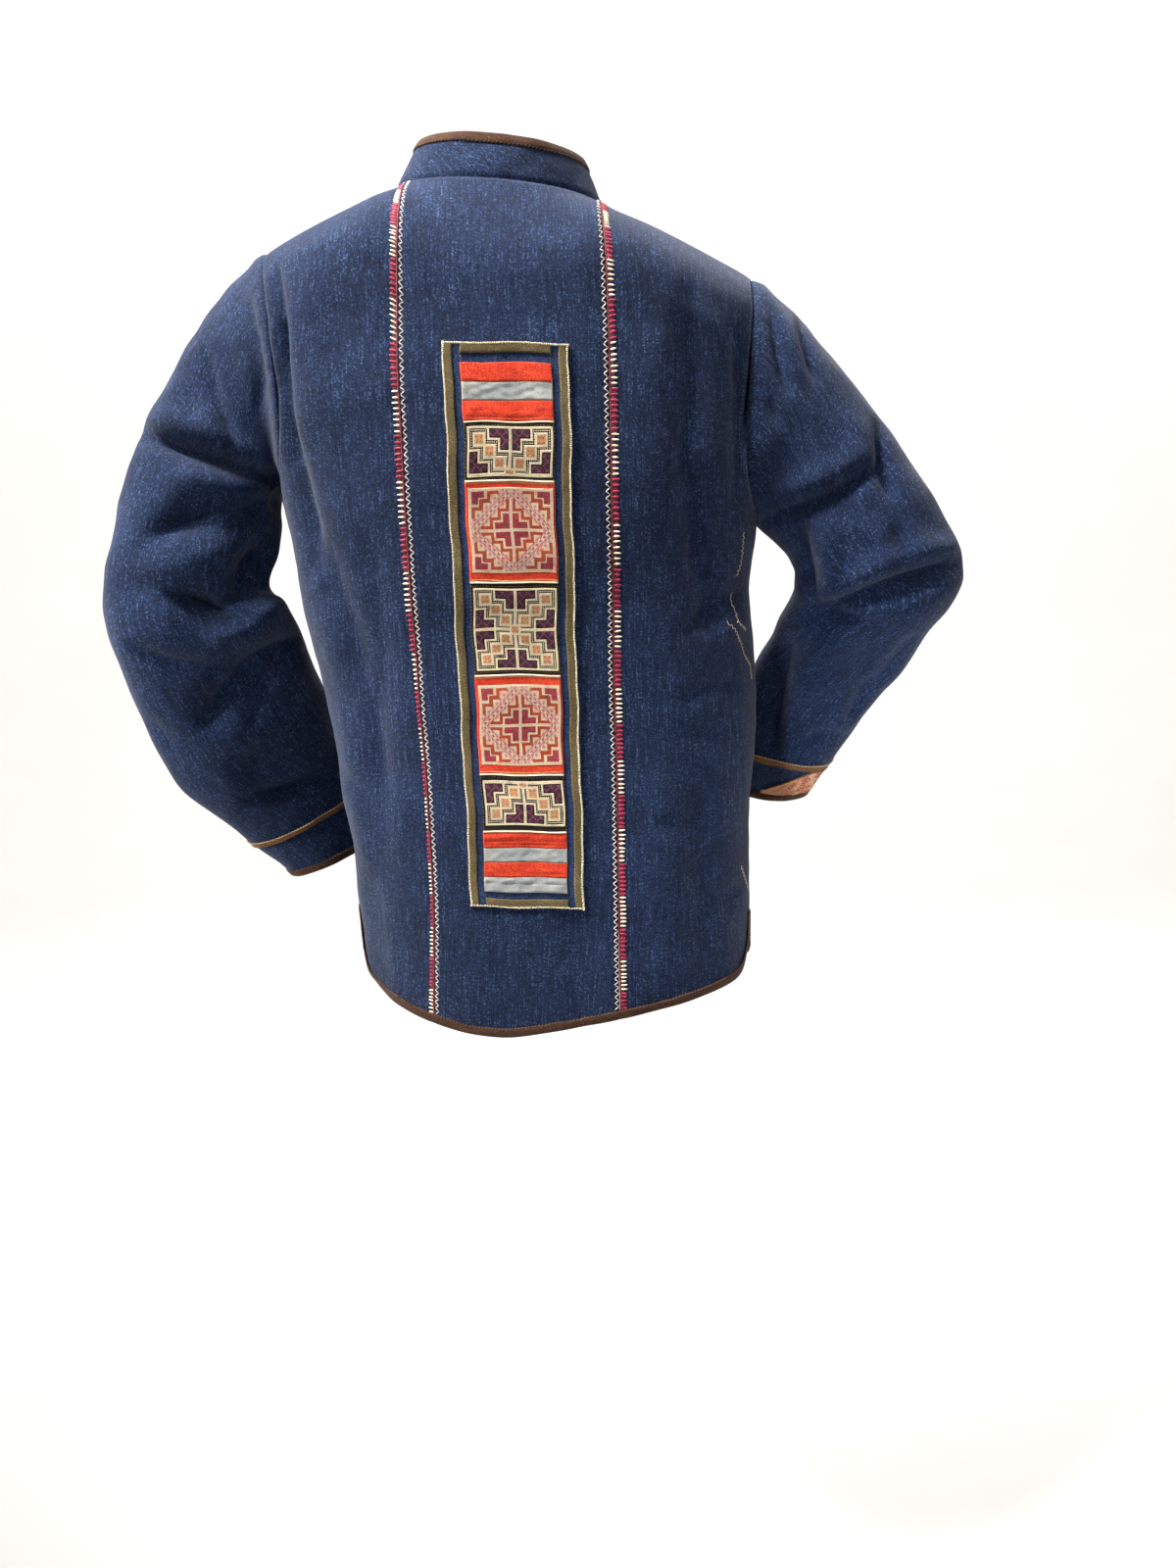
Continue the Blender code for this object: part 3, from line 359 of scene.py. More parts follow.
def spline(xs, ys, x, steady=False):
    """A smooth curve through (xs, ys). A steady one never swings out beyond its points."""
    xs, ys, x = np.asarray(xs, float), np.asarray(ys, float), np.asarray(x, float)
    slope = np.gradient(ys, xs, axis=0)
    if steady:
        rise = np.diff(ys, axis=0) / np.diff(xs).reshape((-1,) + (1,) * (ys.ndim - 1))
        before, after = rise[:-1], rise[1:]
        same = before * after > 0
        slope[1:-1] = np.where(same, 2 * before * after / np.where(same, before + after, 1), 0)
    i = np.clip(np.searchsorted(xs, x) - 1, 0, len(xs) - 2)
    h = xs[i + 1] - xs[i]
    t = np.clip((x - xs[i]) / h, 0, 1)
    wider = h.shape + (1,) * (ys.ndim - 1)
    h, t = h.reshape(wider), t.reshape(wider)
    return (
        (2 * t**3 - 3 * t**2 + 1) * ys[i]
        + (t**3 - 2 * t**2 + t) * h * slope[i]
        + (3 * t**2 - 2 * t**3) * ys[i + 1]
        + (t**3 - t**2) * h * slope[i + 1]
    )


def body_at(z):
    """The body's sizes at a height, in the order of its table's columns."""
    table = np.array(BODY) / MM
    return np.moveaxis(spline(table[:, 0], table[:, 1:], z), -1, 0)


def oval(z):
    """Middle x, half width, back y, front y and turn of the body at a height."""
    left, right, back, front, turn = body_at(z)[:5]
    return (left + right) / 2, (right - left) / 2, back, front, turn


def ease(x):
    """0 below 0, 1 above 1, and a soft step between."""
    x = np.clip(x, 0, 1)
    return x * x * (3 - 2 * x)


def unit(v):
    """Vectors of length 1 along the last axis."""
    return v / np.maximum(np.linalg.norm(v, axis=-1, keepdims=True), 1e-12)


def around(angle, z):
    """Point of the body at an angle (0 is right, 90 back, 180 left, 270 front) and a height."""
    mid, half, back, front, turn = oval(z)
    c, s = np.cos(angle), np.sin(angle)
    reach = (np.abs(c) ** SQUARE + np.abs(s) ** SQUARE) ** (-1 / SQUARE)
    x = mid + half * c * reach
    y = np.where(s > 0, back, front) * np.abs(s) * reach + turn * (x - mid)
    return x, y


def angle_of(x, z):
    """The back's angle at this x."""
    mid, half = oval(z)[:2]
    q = np.clip((x - mid) / half, -0.999, 0.999)
    grow = np.maximum(np.abs(1 / np.where(np.abs(q) < 1e-6, 1e-6, q)) ** SQUARE - 1, 0)
    angle = np.arctan(grow ** (1 / SQUARE))
    return np.where(q > 0, angle, np.pi - angle)


def edge_angle(side, z):
    """Angle, from the side, of the armhole's edge and of the side seam under it."""
    # A quarter of an oval takes it from 13 degrees at the armpit to 32 degrees, 85 mm higher.
    t = np.clip((z - PIT[side]) / 0.085, 0, 1)
    return np.radians(13 + 19 * np.sqrt(1 - (1 - t) ** 2))


def slit_half(z):
    """Half the space between the two edges of a side seam: a sewn seam, then a slit."""
    return np.where(z > SLIT + 1e-6, GAP / 2, 0.0018 + 0.0035 * (SLIT - z) / 0.09)


def neck_height(x, y):
    """Height of the collar's seam, which slopes to the right and falls to the front."""
    slope, slope_ahead, fall, falls_from = NECK_DROP
    ahead = y + NECK[3]
    return slope * x - slope_ahead * ahead - fall * np.maximum(ahead - falls_from, 0) ** 2


def top_of(x, face):
    """(y, z, end angle, height) of the cap that closes a column at the neck or the shoulder."""
    q = np.clip(np.abs(x - NECK[0]) / NECK[2], 0, 1)
    way = -1 if face == "back" else 1
    y_neck = NECK[1] + way * NECK[3] * np.sqrt(1 - q * q) + NECK_TURN * x
    z_neck = neck_height(x, y_neck)
    side_z = neck_height(np.sign(x) * NECK[2], NECK[1] + NECK_TURN * np.sign(x) * NECK[2])
    low = np.where(x < 0, SHOULDER["left"], SHOULDER["right"])
    far = np.where(x < 0, SHOULDER_AT["left"], SHOULDER_AT["right"])
    out = np.clip((np.abs(x) - NECK[2]) / (np.abs(far) - NECK[2]), 0, 1.2)
    z_ridge = side_z + (low - side_z) * (0.85 * out + 0.15 * out * out)
    inside = np.abs(x - NECK[0]) < NECK[2]
    y = np.where(inside, y_neck, NECK_TURN * x + way * GAP / 2)
    z = np.where(inside, z_neck, z_ridge)
    end = np.radians(CAP_TURN[face] + (90 - CAP_TURN[face]) * ease(q**3))
    # The cap is 75 mm high at the middle of the neck and 48 mm beside it.
    high = np.where(inside, 0.075 - 0.027 * q**2, 0.048 + 0.010 * out)
    return y, z, end, high


def column(angle_at, face, heights, caps, pivot=CLOSE_FROM):
    """Points of one column: at these heights, then through the cap at the neck or shoulder."""
    top_z = -0.03
    for _ in range(8):
        x, _ = around(angle_at(top_z), top_z)
        y_end, top_z, end, high = (float(v) for v in top_of(x, face))
    base, points = top_z - high, []
    heights = np.array(heights)
    if caps:
        # The upper levels close up so that the last of them is where the cap starts.
        part = (heights - pivot) / (heights[-1] - pivot)
        heights = np.where(part > 0, pivot + part * (base - pivot), heights)
    for z in heights:
        x, y = around(angle_at(z), z)
        points.append((float(x), float(y), float(z)))
    for part in caps:
        turn = part * end
        z = base + high * math.sin(turn) / math.sin(end)
        x, y = around(angle_at(z), z)
        mix = (1 - math.cos(turn)) / (1 - math.cos(end))
        points.append((float(x), float(y) + (y_end - float(y)) * mix, z))
    return points


def side_normal(points, centre):
    """Level direction out of the body at each point of a grid."""
    x, z = points[..., 0], points[..., 2]
    mid, half, back, front, turn = oval(np.clip(z, BODY[0][0] / MM, BODY[-1][0] / MM))
    u = (x - mid) / half
    depth = np.where(centre < 0, np.abs(back), front)
    v = (points[..., 1] - turn * (x - mid)) / depth
    n = np.stack([np.sign(u) * np.abs(u) ** (SQUARE - 1) / half,
                  np.sign(v) * np.abs(v) ** (SQUARE - 1) / depth, np.zeros_like(u)], -1)
    return unit(n)


def onto_body(points):
    """The nearest points of the unfolded body at the same heights, under the caps."""
    mid, half, back, front, turn = oval(points[..., 2])
    u = (points[..., 0] - mid) / half
    v = points[..., 1] - turn * (points[..., 0] - mid)
    v = v / np.where(v < 0, np.abs(back), front)
    far = (np.abs(u) ** SQUARE + np.abs(v) ** SQUARE) ** (1 / SQUARE)
    x = mid + half * u / far
    y = np.where(v < 0, np.abs(back), front) * v / far + turn * (x - mid)
    return np.stack([x, y, points[..., 2]], -1)


def foot_of(angle_at, z=NEAR_HEM):
    """x and y of a column near the hem."""
    x, y = around(angle_at(z), z)
    return float(x), float(y)


# %% [markdown]
# ## The cut pieces
# Each piece is a grid of points: its columns run from the hem up, at set angles round the body,
# and its rows lie at common heights, so that two pieces meet point to point at their seam.

# %% Coarse grids of the cut pieces
CAPS = (0.2, 0.4, 0.6, 0.8, 1.0)
# Levels of the back's middle strip, from above the hem to under the neck.
LEVELS = (-0.660, -0.632, -0.606, -0.588, -0.566, -0.540, -0.514, -0.488, -0.462, -0.436,
          -0.410, -0.375, -0.339, -0.3175, -0.294, -0.268, -0.247, -0.2265, -0.202,
          -0.176, -0.152, -0.1275, -0.104)
SLIT_LEVEL = 2  # the slit's last level
ROUNDED = (0.010, 0.001, 0, 0)  # the hem's rise at the columns of the piece under the arm


def hem_height(x, y):
    """The hem is lowest at the middle of the back and higher on the right."""
    rise = 0.185 * x if x > 0 else 1.6 * x * x
    ahead = float(ease((y + 0.03) / 0.10))
    return HEM + rise * (1 - 0.4 * ahead) + 0.004 * ahead


def levels_of(side):
    """A side's levels: as the middle strip's, but with rows at the slit's top and the armpit."""
    z = np.array(LEVELS)
    low = int(np.argmin(np.abs(z - PIT[side])))
    z = np.interp(np.arange(len(z)), [0, SLIT_LEVEL, SLIT_LEVEL + 1, low, len(z) - 1],
                  [z[0], SLIT - 0.004, SLIT + 0.006, PIT[side], z[-1]])
    return z, low


def grid_of(angles, face, side, corner, lean=None):
    """Grid of points, rows from the hem up, of a piece whose columns have these angle functions.

    corner is (column at the edge, radius) for each rounded corner. lean gives how far each
    column's levels are from the middle strip's to the side's.
    """
    levels, _ = levels_of(side)
    rows = []
    for k, angle_at in enumerate(angles):
        x, y = foot_of(angle_at)
        hem = hem_height(x, y)
        for at, radius in corner:
            xe, ye = foot_of(angles[at])
            d = min(radius, math.hypot(x - xe, y - ye))
            hem += radius - math.sqrt(radius**2 - (radius - d) ** 2)
        leaning = 1.0 if lean is None else lean[k]
        own = np.array(LEVELS) * (1 - leaning) + levels * leaning
        first = np.maximum(own, hem + ROW_SPACE * (np.arange(len(own)) + 1))
        rows.append(column(angle_at, face, [hem, *first], CAPS, CLOSE_FROM - 0.09 * leaning))
    return np.array(rows).transpose(1, 0, 2)


def seam_shift(side, z, by):
    """Angle on the back of one seam of the middle strip, moved outwards by a distance."""
    which = 5 if side == "left" else 6
    x = body_at(z)[which] + (by if side == "right" else -by)
    return angle_of(x, z)


def neck_part(side, first, last):
    """Where, from the first column (0) to the last (1), the neck opening's side is."""
    x = NECK[0] + NECK[2] * (1 if side == "right" else -1)
    at = angle_of(x, 0.0)
    return float((at - abs(first(0.0))) / (abs(last(0.0)) - abs(first(0.0))))


def spread(first, last, parts):
    """Columns at these shares of the way between two edges, each a function of the height."""
    return [lambda z, p=p: first(z) + (last(z) - first(z)) * p for p in parts]


def side_strip_angles(side):
    """Columns of a back side strip, from its decorated seam to the armhole."""
    def first(z):
        return seam_shift(side, z, GAP / 2)

    def last(z):
        edge = edge_angle(side, z) + slit_half(z) / SIDE_RADIUS
        return edge if side == "right" else np.pi - edge

    neck = neck_part(side, first, last)
    beyond = (0.20, 0.40, 0.60, 0.78, 0.90, 0.965, 0.99, 1)
    parts = [0, neck] + [neck + (1 - neck) * p for p in beyond]
    return spread(first, last, parts), parts


def front_angles(side):
    """Columns of a front, from the middle edge to the armhole and side seam."""
    way = 1 if side == "right" else -1

    def first(z):
        return -angle_of((body_at(z)[5] + body_at(z)[6]) / 2 + 0.0016 * way, z)

    def last(z):
        edge = edge_angle(side, z) + GAP / 2 / SIDE_RADIUS
        return -edge if side == "right" else -(np.pi - edge)

    neck = neck_part(side, first, last)
    parts = [neck * p for p in (0, 0.08, 0.26, 0.46, 0.66, 0.84, 0.95)] + [neck]
    parts += [neck + (1 - neck) * p for p in (0.27, 0.55, 0.80, 1)]
    return spread(first, last, parts)


def side_panel_angles(side):
    """Columns of the piece under the arm, from the back side seam to the front one."""
    parts = (0, 0.33, 0.67, 1)

    def at(part):
        def angle(z):
            a = edge_angle(side, z) - slit_half(z) / SIDE_RADIUS
            b = -(edge_angle(side, z) - GAP / 2 / SIDE_RADIUS)
            turn = a + (b - a) * part
            return turn if side == "right" else np.pi - turn
        return angle
    return [at(p) for p in parts]


def side_panel(side):
    """The narrow piece under the arm, from the hem to the armpit."""
    levels, low = levels_of(side)
    rows = []
    for k, angle_at in enumerate(side_panel_angles(side)):
        hem = hem_height(*foot_of(angle_at)) + ROUNDED[k]
        first = np.maximum(levels[: low + 1], hem + ROW_SPACE * (np.arange(low + 1) + 1))
        rows.append(column(angle_at, "back", [hem, *first], ()))
    return np.array(rows).transpose(1, 0, 2)


def armhole_loop(side):
    """The armhole's edge as a closed loop: from the top down the back, under, and up the front."""
    back, under, fore = (coarse[f"{name}_{side}"] for name in ("back", "side", "front"))
    pit = levels_of(side)[1] + 1
    down = back[-1 : pit - 1 : -1, -1]
    return np.concatenate([down, under[-1, 1:-1], fore[pit:-1, -1]]), len(down)


def sleeve_rings(side, loop, down):
    """Rings of points from the armhole to the cuff's edge, each with the loop's count of points."""
    rows = np.array(SLEEVE[side]) / MM
    outer, inner, half = rows[:, 0:3], rows[:, 3:6], rows[:, 6]
    steps = np.linalg.norm(np.roll(loop, -1, 0) - loop, axis=1)
    run = np.concatenate([[0], np.cumsum(steps)]) / steps.sum()
    count, lowest = np.arange(len(loop)), down + 0.5
    run_low = np.interp(lowest, np.arange(len(run)), run)
    by_run = np.interp(run[:-1], [0, run_low, 1], [0, np.pi, 2 * np.pi])
    by_count = np.interp(count, [0, lowest, len(loop)], [0, np.pi, 2 * np.pi])
    turn = 0.35 * by_count + 0.65 * by_run
    centre, reach = (outer + inner) / 2, (outer - inner) / 2
    axis = unit(np.gradient(centre, axis=0))
    deep = unit(np.cross(reach, axis))
    deep *= -np.sign(deep[:, 1:2])
    deep[:, 1] = -np.abs(deep[:, 1])
    c, s = np.cos(turn), np.sin(turn)
    size = (np.abs(c) ** SLEEVE_SQUARE + np.abs(s) ** SLEEVE_SQUARE) ** (-1 / SLEEVE_SQUARE)
    rings = (centre[:, None] + reach[:, None] * (c * size)[None, :, None]
             + deep[:, None] * half[:, None, None] * (s * size)[None, :, None])
    return np.concatenate([loop[None], rings]), turn


# %% [markdown]
# ## Finer grids
# The coarse grid has a point every 2 or 3 cm. A smooth curve through its rows and then through
# its columns gives a point about every 3 mm, which is fine enough for soft folds. A few rounds of
# averaging with the neighbours then take out the last trace of the coarse points.

# %% Finer grids
FINE = 0.0036  # space between the cloth's points


def lengths(points):
    """Running length along the first axis."""
    steps = np.linalg.norm(np.diff(points, axis=0), axis=-1)
    return np.concatenate([np.zeros((1, *steps.shape[1:])), np.cumsum(steps, axis=0)])


def looped(grid):
    """The grid with its first column again at its end."""
    return np.concatenate([grid, grid[:, :1]], axis=1)


def finer_columns(grid, step=FINE, closed=False):
    """(grid, column numbers) with more columns. A closed grid goes all the way round."""
    columns = grid.shape[1]
    if closed:
        grid = np.concatenate([grid[:, -3:], grid, grid[:, :4]], axis=1)
    place = lengths(grid.swapaxes(0, 1)).mean(axis=1)
    first, last = (place[3], place[3 + columns]) if closed else (0, place[-1])
    count = int(round((last - first) / step)) + 1
    at = np.linspace(first, last, count)
    if closed:
        at = at[:-1]
    number = np.interp(at, place, np.arange(len(place))) - (3 if closed else 0)
    return spline(place, grid.swapaxes(0, 1), at, steady=not closed).swapaxes(0, 1), number


def finer_rows(grid, place, at):
    """The grid's rows at other distances along it."""
    return spline(place[: len(grid)], grid, at)


def relaxed(grid, rounds=14, closed=False):
    """The grid with each point drawn to its neighbours. Side edges move along themselves only, and
    the last row stays."""
    grid, last = grid.copy(), grid[-1].copy()
    for _ in range(rounds):
        grid[1:-1] = (grid[:-2] + 2 * grid[1:-1] + grid[2:]) / 4
        if closed:
            grid = (np.roll(grid, 1, 1) + 2 * grid + np.roll(grid, -1, 1)) / 4
        else:
            grid[:, 1:-1] = (grid[:, :-2] + 2 * grid[:, 1:-1] + grid[:, 2:]) / 4
        grid[-1] = last
    return grid


def normals_of(grid, closed=False, outward=None):
    """Unit normals of a grid, turned so that on the whole they point along outward."""
    if closed:
        across = np.roll(grid, -1, 1) - np.roll(grid, 1, 1)
    else:
        across = np.gradient(grid, axis=1)
    n = unit(np.cross(across, np.gradient(grid, axis=0)))
    if outward is None:
        outward = grid - grid.mean(axis=1, keepdims=True)
    return n if (n * outward).sum() > 0 else -n


# %% [markdown]
# ## Folds
# A fold is a line on the cloth with a half width and a height, below 0 for a trough. It is
# deepest in its middle and dies away at its ends, and it may bow to one side. A deep trough also
# draws the cloth on both sides towards its line, so its walls stand steep and its brow is round.

# %% Folds
FOLD_UNITS = np.array([MM] * 4 + [10 * MM] * 3)


def folds(points, rows):
    """Height at each (x, z) of soft troughs and ridges, and how far a trough draws cloth to it."""
    height, draw = np.zeros(points.shape[:-1]), np.zeros(points.shape)
    for x0, z0, x1, z1, bow, half, high in np.array(rows) / FOLD_UNITS:
        start, run = np.array([x0, z0]), np.array([x1 - x0, z1 - z0])
        size = np.linalg.norm(run)
        across = np.array([-run[1], run[0]]) / size
        along = ((points - start) @ run) / size**2
        inside = np.clip(along, 0, 1)
        off = (points - start) @ across - bow * 4 * inside * (1 - inside)
        past = (along - inside) * size
        # The fold is wider and higher in its middle than at its ends.
        far = np.hypot(off, past) / (half * (0.75 + 0.5 * np.sin(np.pi * inside)))
        shape = np.exp(-far * far) * (0.30 + 0.70 * np.sin(np.pi * inside) ** 0.7)
        height += high * shape
        # Only a trough draws cloth to it, and never so much that its walls would meet.
        steep = min(0.55, max(0.0, -0.45 * high / half))
        draw -= (steep * off * shape)[..., None] * across
    return height, draw


def moved(grid, normal, height, draw):
    """The grid pushed along its normals by height and along its own face by draw."""
    along = np.stack([draw[..., 0], 0 * height, draw[..., 1]], axis=-1)
    along -= normal * (along * normal).sum(axis=-1, keepdims=True)
    return grid + normal * height[..., None] + along


def uneven(points, size, seed):
    """A gentle waver between about -1 and 1, from a few sine waves of about this length."""
    chance = np.random.default_rng(seed)
    total = np.zeros(points.shape[:-1])
    for _ in range(7):
        way = unit(chance.normal(size=points.shape[-1])) * 2 * np.pi / (size * chance.uniform(0.7, 1.6))
        total += np.sin(points @ way + chance.uniform(0, 6.3))
    return total / 3.5


# x, z, x, z in millimetres; bow, half width, height in tenths of a millimetre
BACK_FOLDS = (
    (-176, -66, -172, -140, 30, 55, -72),
    (-172, -108, -169, -210, -10, 65, -96),
    (-168, -185, -158, -297, 20, 80, -90),
    (-150, -60, -147, -190, 10, 120, 27),
    (-156, -250, -124, -385, 40, 120, -72),
    (-122, -330, -108, -480, 0, 160, -54),
    (-102, -270, -100, -400, 20, 110, -36),
    (-106, -400, -110, -560, -30, 130, -43),
    (-140, -420, -134, -600, 40, 150, 36),
    (-126, -560, -118, -680, 30, 120, -41),
    (-150, -470, -120, -492, 30, 80, -29),
    (146, -80, 142, -215, 50, 120, -51),
    (186, -110, 190, -240, 30, 70, -53),
    (120, -110, 122, -260, -30, 160, 31),
    (142, -200, 156, -290, 30, 120, -69),
    (152, -280, 172, -350, 30, 120, -81),
    (214, -316, 150, -345, -50, 90, -75),
    (214, -338, 168, -356, -30, 100, 48),
    (200, -392, 150, -402, -40, 80, -41),
    (195, -428, 146, -430, 20, 70, -33),
    (165, -500, 125, -506, 30, 80, -29),
    (205, -572, 172, -578, 20, 90, -29),
    (130, -450, 128, -640, 40, 180, 33),
    (165, -470, 172, -650, -30, 150, -45),
    (60, -580, 64, -680, 20, 150, -27),
    (-30, -600, -34, -685, 20, 200, 27),
    (-80, -55, -150, -60, -60, 110, 21),
)
FRONT_FOLDS = (
    (-150, -150, -110, -290, 40, 119, -83),
    (-112, -280, -80, -420, 40, 136, -67),
    (-60, -120, -66, -260, 20, 119, 33),
    (-150, -350, -110, -362, 40, 85, -45),
    (165, -160, 130, -300, -40, 119, -83),
    (132, -290, 108, -440, -40, 136, -67),
    (80, -130, 86, -280, 30, 119, 33),
    (190, -345, 140, -358, -40, 85, -53),
    (-100, -480, -96, -640, 30, 170, 37),
    (120, -470, 126, -640, 30, 170, 37),
    (40, -520, 44, -660, 20, 119, -27),
)
# The same columns, for each sleeve's back and front.
SLEEVE_FOLDS = {
    ("left", "back"): (
        (-201, -88, -200, -172, 80, 50, -30),
        (-241, -122, -218, -201, -10, 55, -55),
        (-219, -104, -202, -168, 60, 80, 32),
        (-262, -140, -250, -180, 30, 80, -25),
        (-304, -187, -186, -228, 20, 85, -215),
        (-279, -177, -195, -212, 20, 110, 50),
        (-268, -230, -197, -233, 80, 120, 55),
        (-190, -236, -222, -264, 10, 120, -160),
        (-286, -270, -213, -243, 0, 110, -120),
        (-193, -268, -233, -312, 10, 110, -160),
        (-272, -318, -226, -338, 10, 90, -230),
        (-193, -284, -231, -333, 20, 90, -180),
        (-190, -314, -246, -362, 20, 120, 105),
        (-296, -296, -236, -285, 0, 120, 45),
        (-312, -362, -246, -379, -50, 80, -100),
        (-185, -358, -265, -433, -60, 130, -185),
        (-210, -389, -229, -434, 10, 70, -65),
        (-280, -435, -219, -437, -100, 140, 55),
        (-182, -491, -236, -502, 40, 85, -135),
        (-232, -457, -230, -500, 10, 70, -48),
        (-273, -463, -253, -514, 80, 120, 35),
        (-318, -304, -270, -318, 0, 100, -36),
        (-319, -423, -295, -463, 50, 90, -42),
    ),
    ("left", "front"): (
        (-300, -190, -215, -230, 80, 90, -120),
        (-325, -260, -225, -268, 60, 110, -70),
        (-325, -300, -225, -315, 60, 90, -130),
        (-325, -335, -230, -345, 40, 120, 70),
        (-300, -390, -210, -375, 50, 100, -110),
        (-270, -440, -190, -430, 40, 130, 50),
        (-275, -480, -205, -472, 40, 90, -60),
    ),
    ("right", "back"): (
        (215, -86, 231, -156, -20, 50, -60),
        (244, -96, 256, -146, -30, 55, -50),
        (229, -96, 242, -144, 10, 70, 30),
        (215, -158, 226, -183, -10, 50, -38),
        (311, -181, 320, -239, -20, 65, -80),
        (288, -170, 302, -217, 0, 100, 38),
        (224, -256, 310, -213, -40, 70, -120),
        (228, -237, 292, -206, -40, 110, 50),
        (251, -265, 265, -330, 0, 60, -80),
        (263, -255, 273, -315, 40, 100, 45),
        (266, -265, 333, -285, 90, 110, 30),
        (325, -262, 339, -296, -10, 70, -46),
        (397, -293, 290, -328, -50, 85, -215),
        (296, -324, 262, -334, 20, 70, -110),
        (377, -281, 293, -310, -50, 110, 65),
        (266, -342, 304, -343, -40, 95, -180),
        (379, -312, 306, -334, 50, 110, 45),
        (252, -366, 247, -470, -30, 95, -135),
        (286, -360, 267, -432, 20, 140, 55),
        (315, -367, 313, -441, 40, 90, -50),
        (352, -358, 315, -440, 20, 80, -55),
        (266, -470, 317, -460, 80, 80, -35),
    ),
    ("right", "front"): (
        (305, -195, 235, -240, -80, 90, -120),
        (350, -240, 255, -268, -80, 110, -60),
        (380, -290, 262, -312, -60, 90, -140),
        (370, -325, 265, -340, -40, 120, 70),
        (345, -380, 258, -362, 50, 100, -110),
        (310, -430, 230, -420, 40, 130, 50),
        (300, -470, 235, -462, 40, 90, -55),
    ),
}
SEAM_SINK, SEAM_REACH = 0.0006, 0.0035  # a seam's ditch: its depth and half width

# %% [markdown]
# ## The body's pieces
# Each coarse grid is made finer, then pushed in and out by its folds along the body's level
# normals. Seams pull a little ditch along the edges, and the whole cloth wavers by half a
# millimetre, as washed hemp does.

# %% Fine grids of the body
BODY_AXIS = (0.02, 0.0, 0.0)  # the body's outside faces away from here
OFFSETS = (-0.5, -0.46, -0.39, -0.30, -0.225, -0.11, 0, 0.11, 0.225, 0.30, 0.39, 0.46, 0.5)


def middle_strip():
    """Coarse grid of the back's middle strip, symmetrical about the line between its seams."""
    columns = []
    for offset in OFFSETS:
        def angle_at(z, offset=offset):
            left, right = body_at(z)[5:7]
            return angle_of((left + right) / 2 + (right - left - GAP) * offset, z)

        hem = hem_height(*foot_of(angle_at, HEM))
        columns.append(column(angle_at, "back", [hem, *LEVELS], CAPS))
    return np.array(columns).transpose(1, 0, 2)


coarse = {"back_middle": middle_strip()}
for side in SIDES:
    angles, parts = side_strip_angles(side)
    coarse[f"back_{side}"] = grid_of(angles, "back", side, ((9, 0.028),), ease(np.array(parts)))
    coarse[f"side_{side}"] = side_panel(side)
    coarse[f"front_{side}"] = grid_of(front_angles(side), "front", side, ((0, 0.016),))
ROW_PLACE = lengths(coarse["back_middle"][:, len(OFFSETS) // 2])
ROW_AT = np.linspace(0, ROW_PLACE[-1], int(ROW_PLACE[-1] / FINE) + 1)


def share(normals, first, second):
    """Gives the two sides of a seam the same normals, so that their walls stay apart."""
    mean = unit(normals[first[0]][first[1]] + normals[second[0]][second[1]])
    normals[first[0]][first[1]] = mean
    normals[second[0]][second[1]] = mean


def fold_body(grid, name):
    """The grid with its folds, the ditches of its seams and a faint waver."""
    way = 1 if name.startswith("front") else -1
    flat = grid[..., [0, 2]]
    height, draw = folds(flat, FRONT_FOLDS if way > 0 else BACK_FOLDS)
    # A fold of the back or front fades out towards the sides.
    shown = ease((grid[..., 1] * way - 0.01) / 0.04)
    height, draw = height * shown, draw * shown[..., None]
    reach = lengths(grid.swapaxes(0, 1)).T
    for edge in (reach, reach[:, -1:] - reach):
        height = height - SEAM_SINK * np.exp(-((edge / SEAM_REACH) ** 2))
    # The last 3 cm at the hem and under the neck lie calm.
    calm = ease((grid[..., 2] - HEM) / 0.03) * ease((-0.03 - grid[..., 2]) / 0.03)
    draw = draw * calm[..., None]
    height += 0.0005 * uneven(grid, 0.030, 5) * calm + 0.0009 * uneven(grid, 0.075, 6) * calm
    return moved(grid, side_normal(grid, way), height, draw)


grids, normals = {}, {}
for name, grid in coarse.items():
    at = ROW_AT
    if name.startswith("side"):
        end = ROW_PLACE[len(grid) - 1]
        at = np.append(ROW_AT[ROW_AT < end - FINE / 3], end)
    fine = finer_rows(grid, ROW_PLACE, at)
    step = FINE * (1.5 if name.startswith("front") else 1)
    fine, _ = finer_columns(fine, step)
    grids[name] = fold_body(relaxed(fine), name)
    normals[name] = normals_of(grids[name], outward=(grids[name] - BODY_AXIS) * [1, 1, 0])
for side in SIDES:
    seam, last = (0 if side == "left" else -1), grids[f"side_{side}"].shape[0] - 1
    share(normals, ("back_middle", (slice(None), seam)), (f"back_{side}", (slice(None), 0)))
    for name, edge in ((f"back_{side}", 0), (f"front_{side}", -1)):
        share(normals, (name, (slice(0, last), -1)), (f"side_{side}", (slice(0, last), edge)))
        over = np.abs(grids[name][-1, :, 0] - NECK[0]) > 0.97 * NECK[2]
        normals[name][-1, over, 1] = 0
        normals[name][-1] = unit(normals[name][-1])
print({name: grid.shape[:2] for name, grid in grids.items()})

# %% [markdown]
# ## Cloth with a wall
# A cloth piece is a closed shell: the outer grid, an inner grid one wall behind it and a rim
# round the edge. Its UV map holds real metres along the yarns, so the weave keeps its size.

# %% Shells


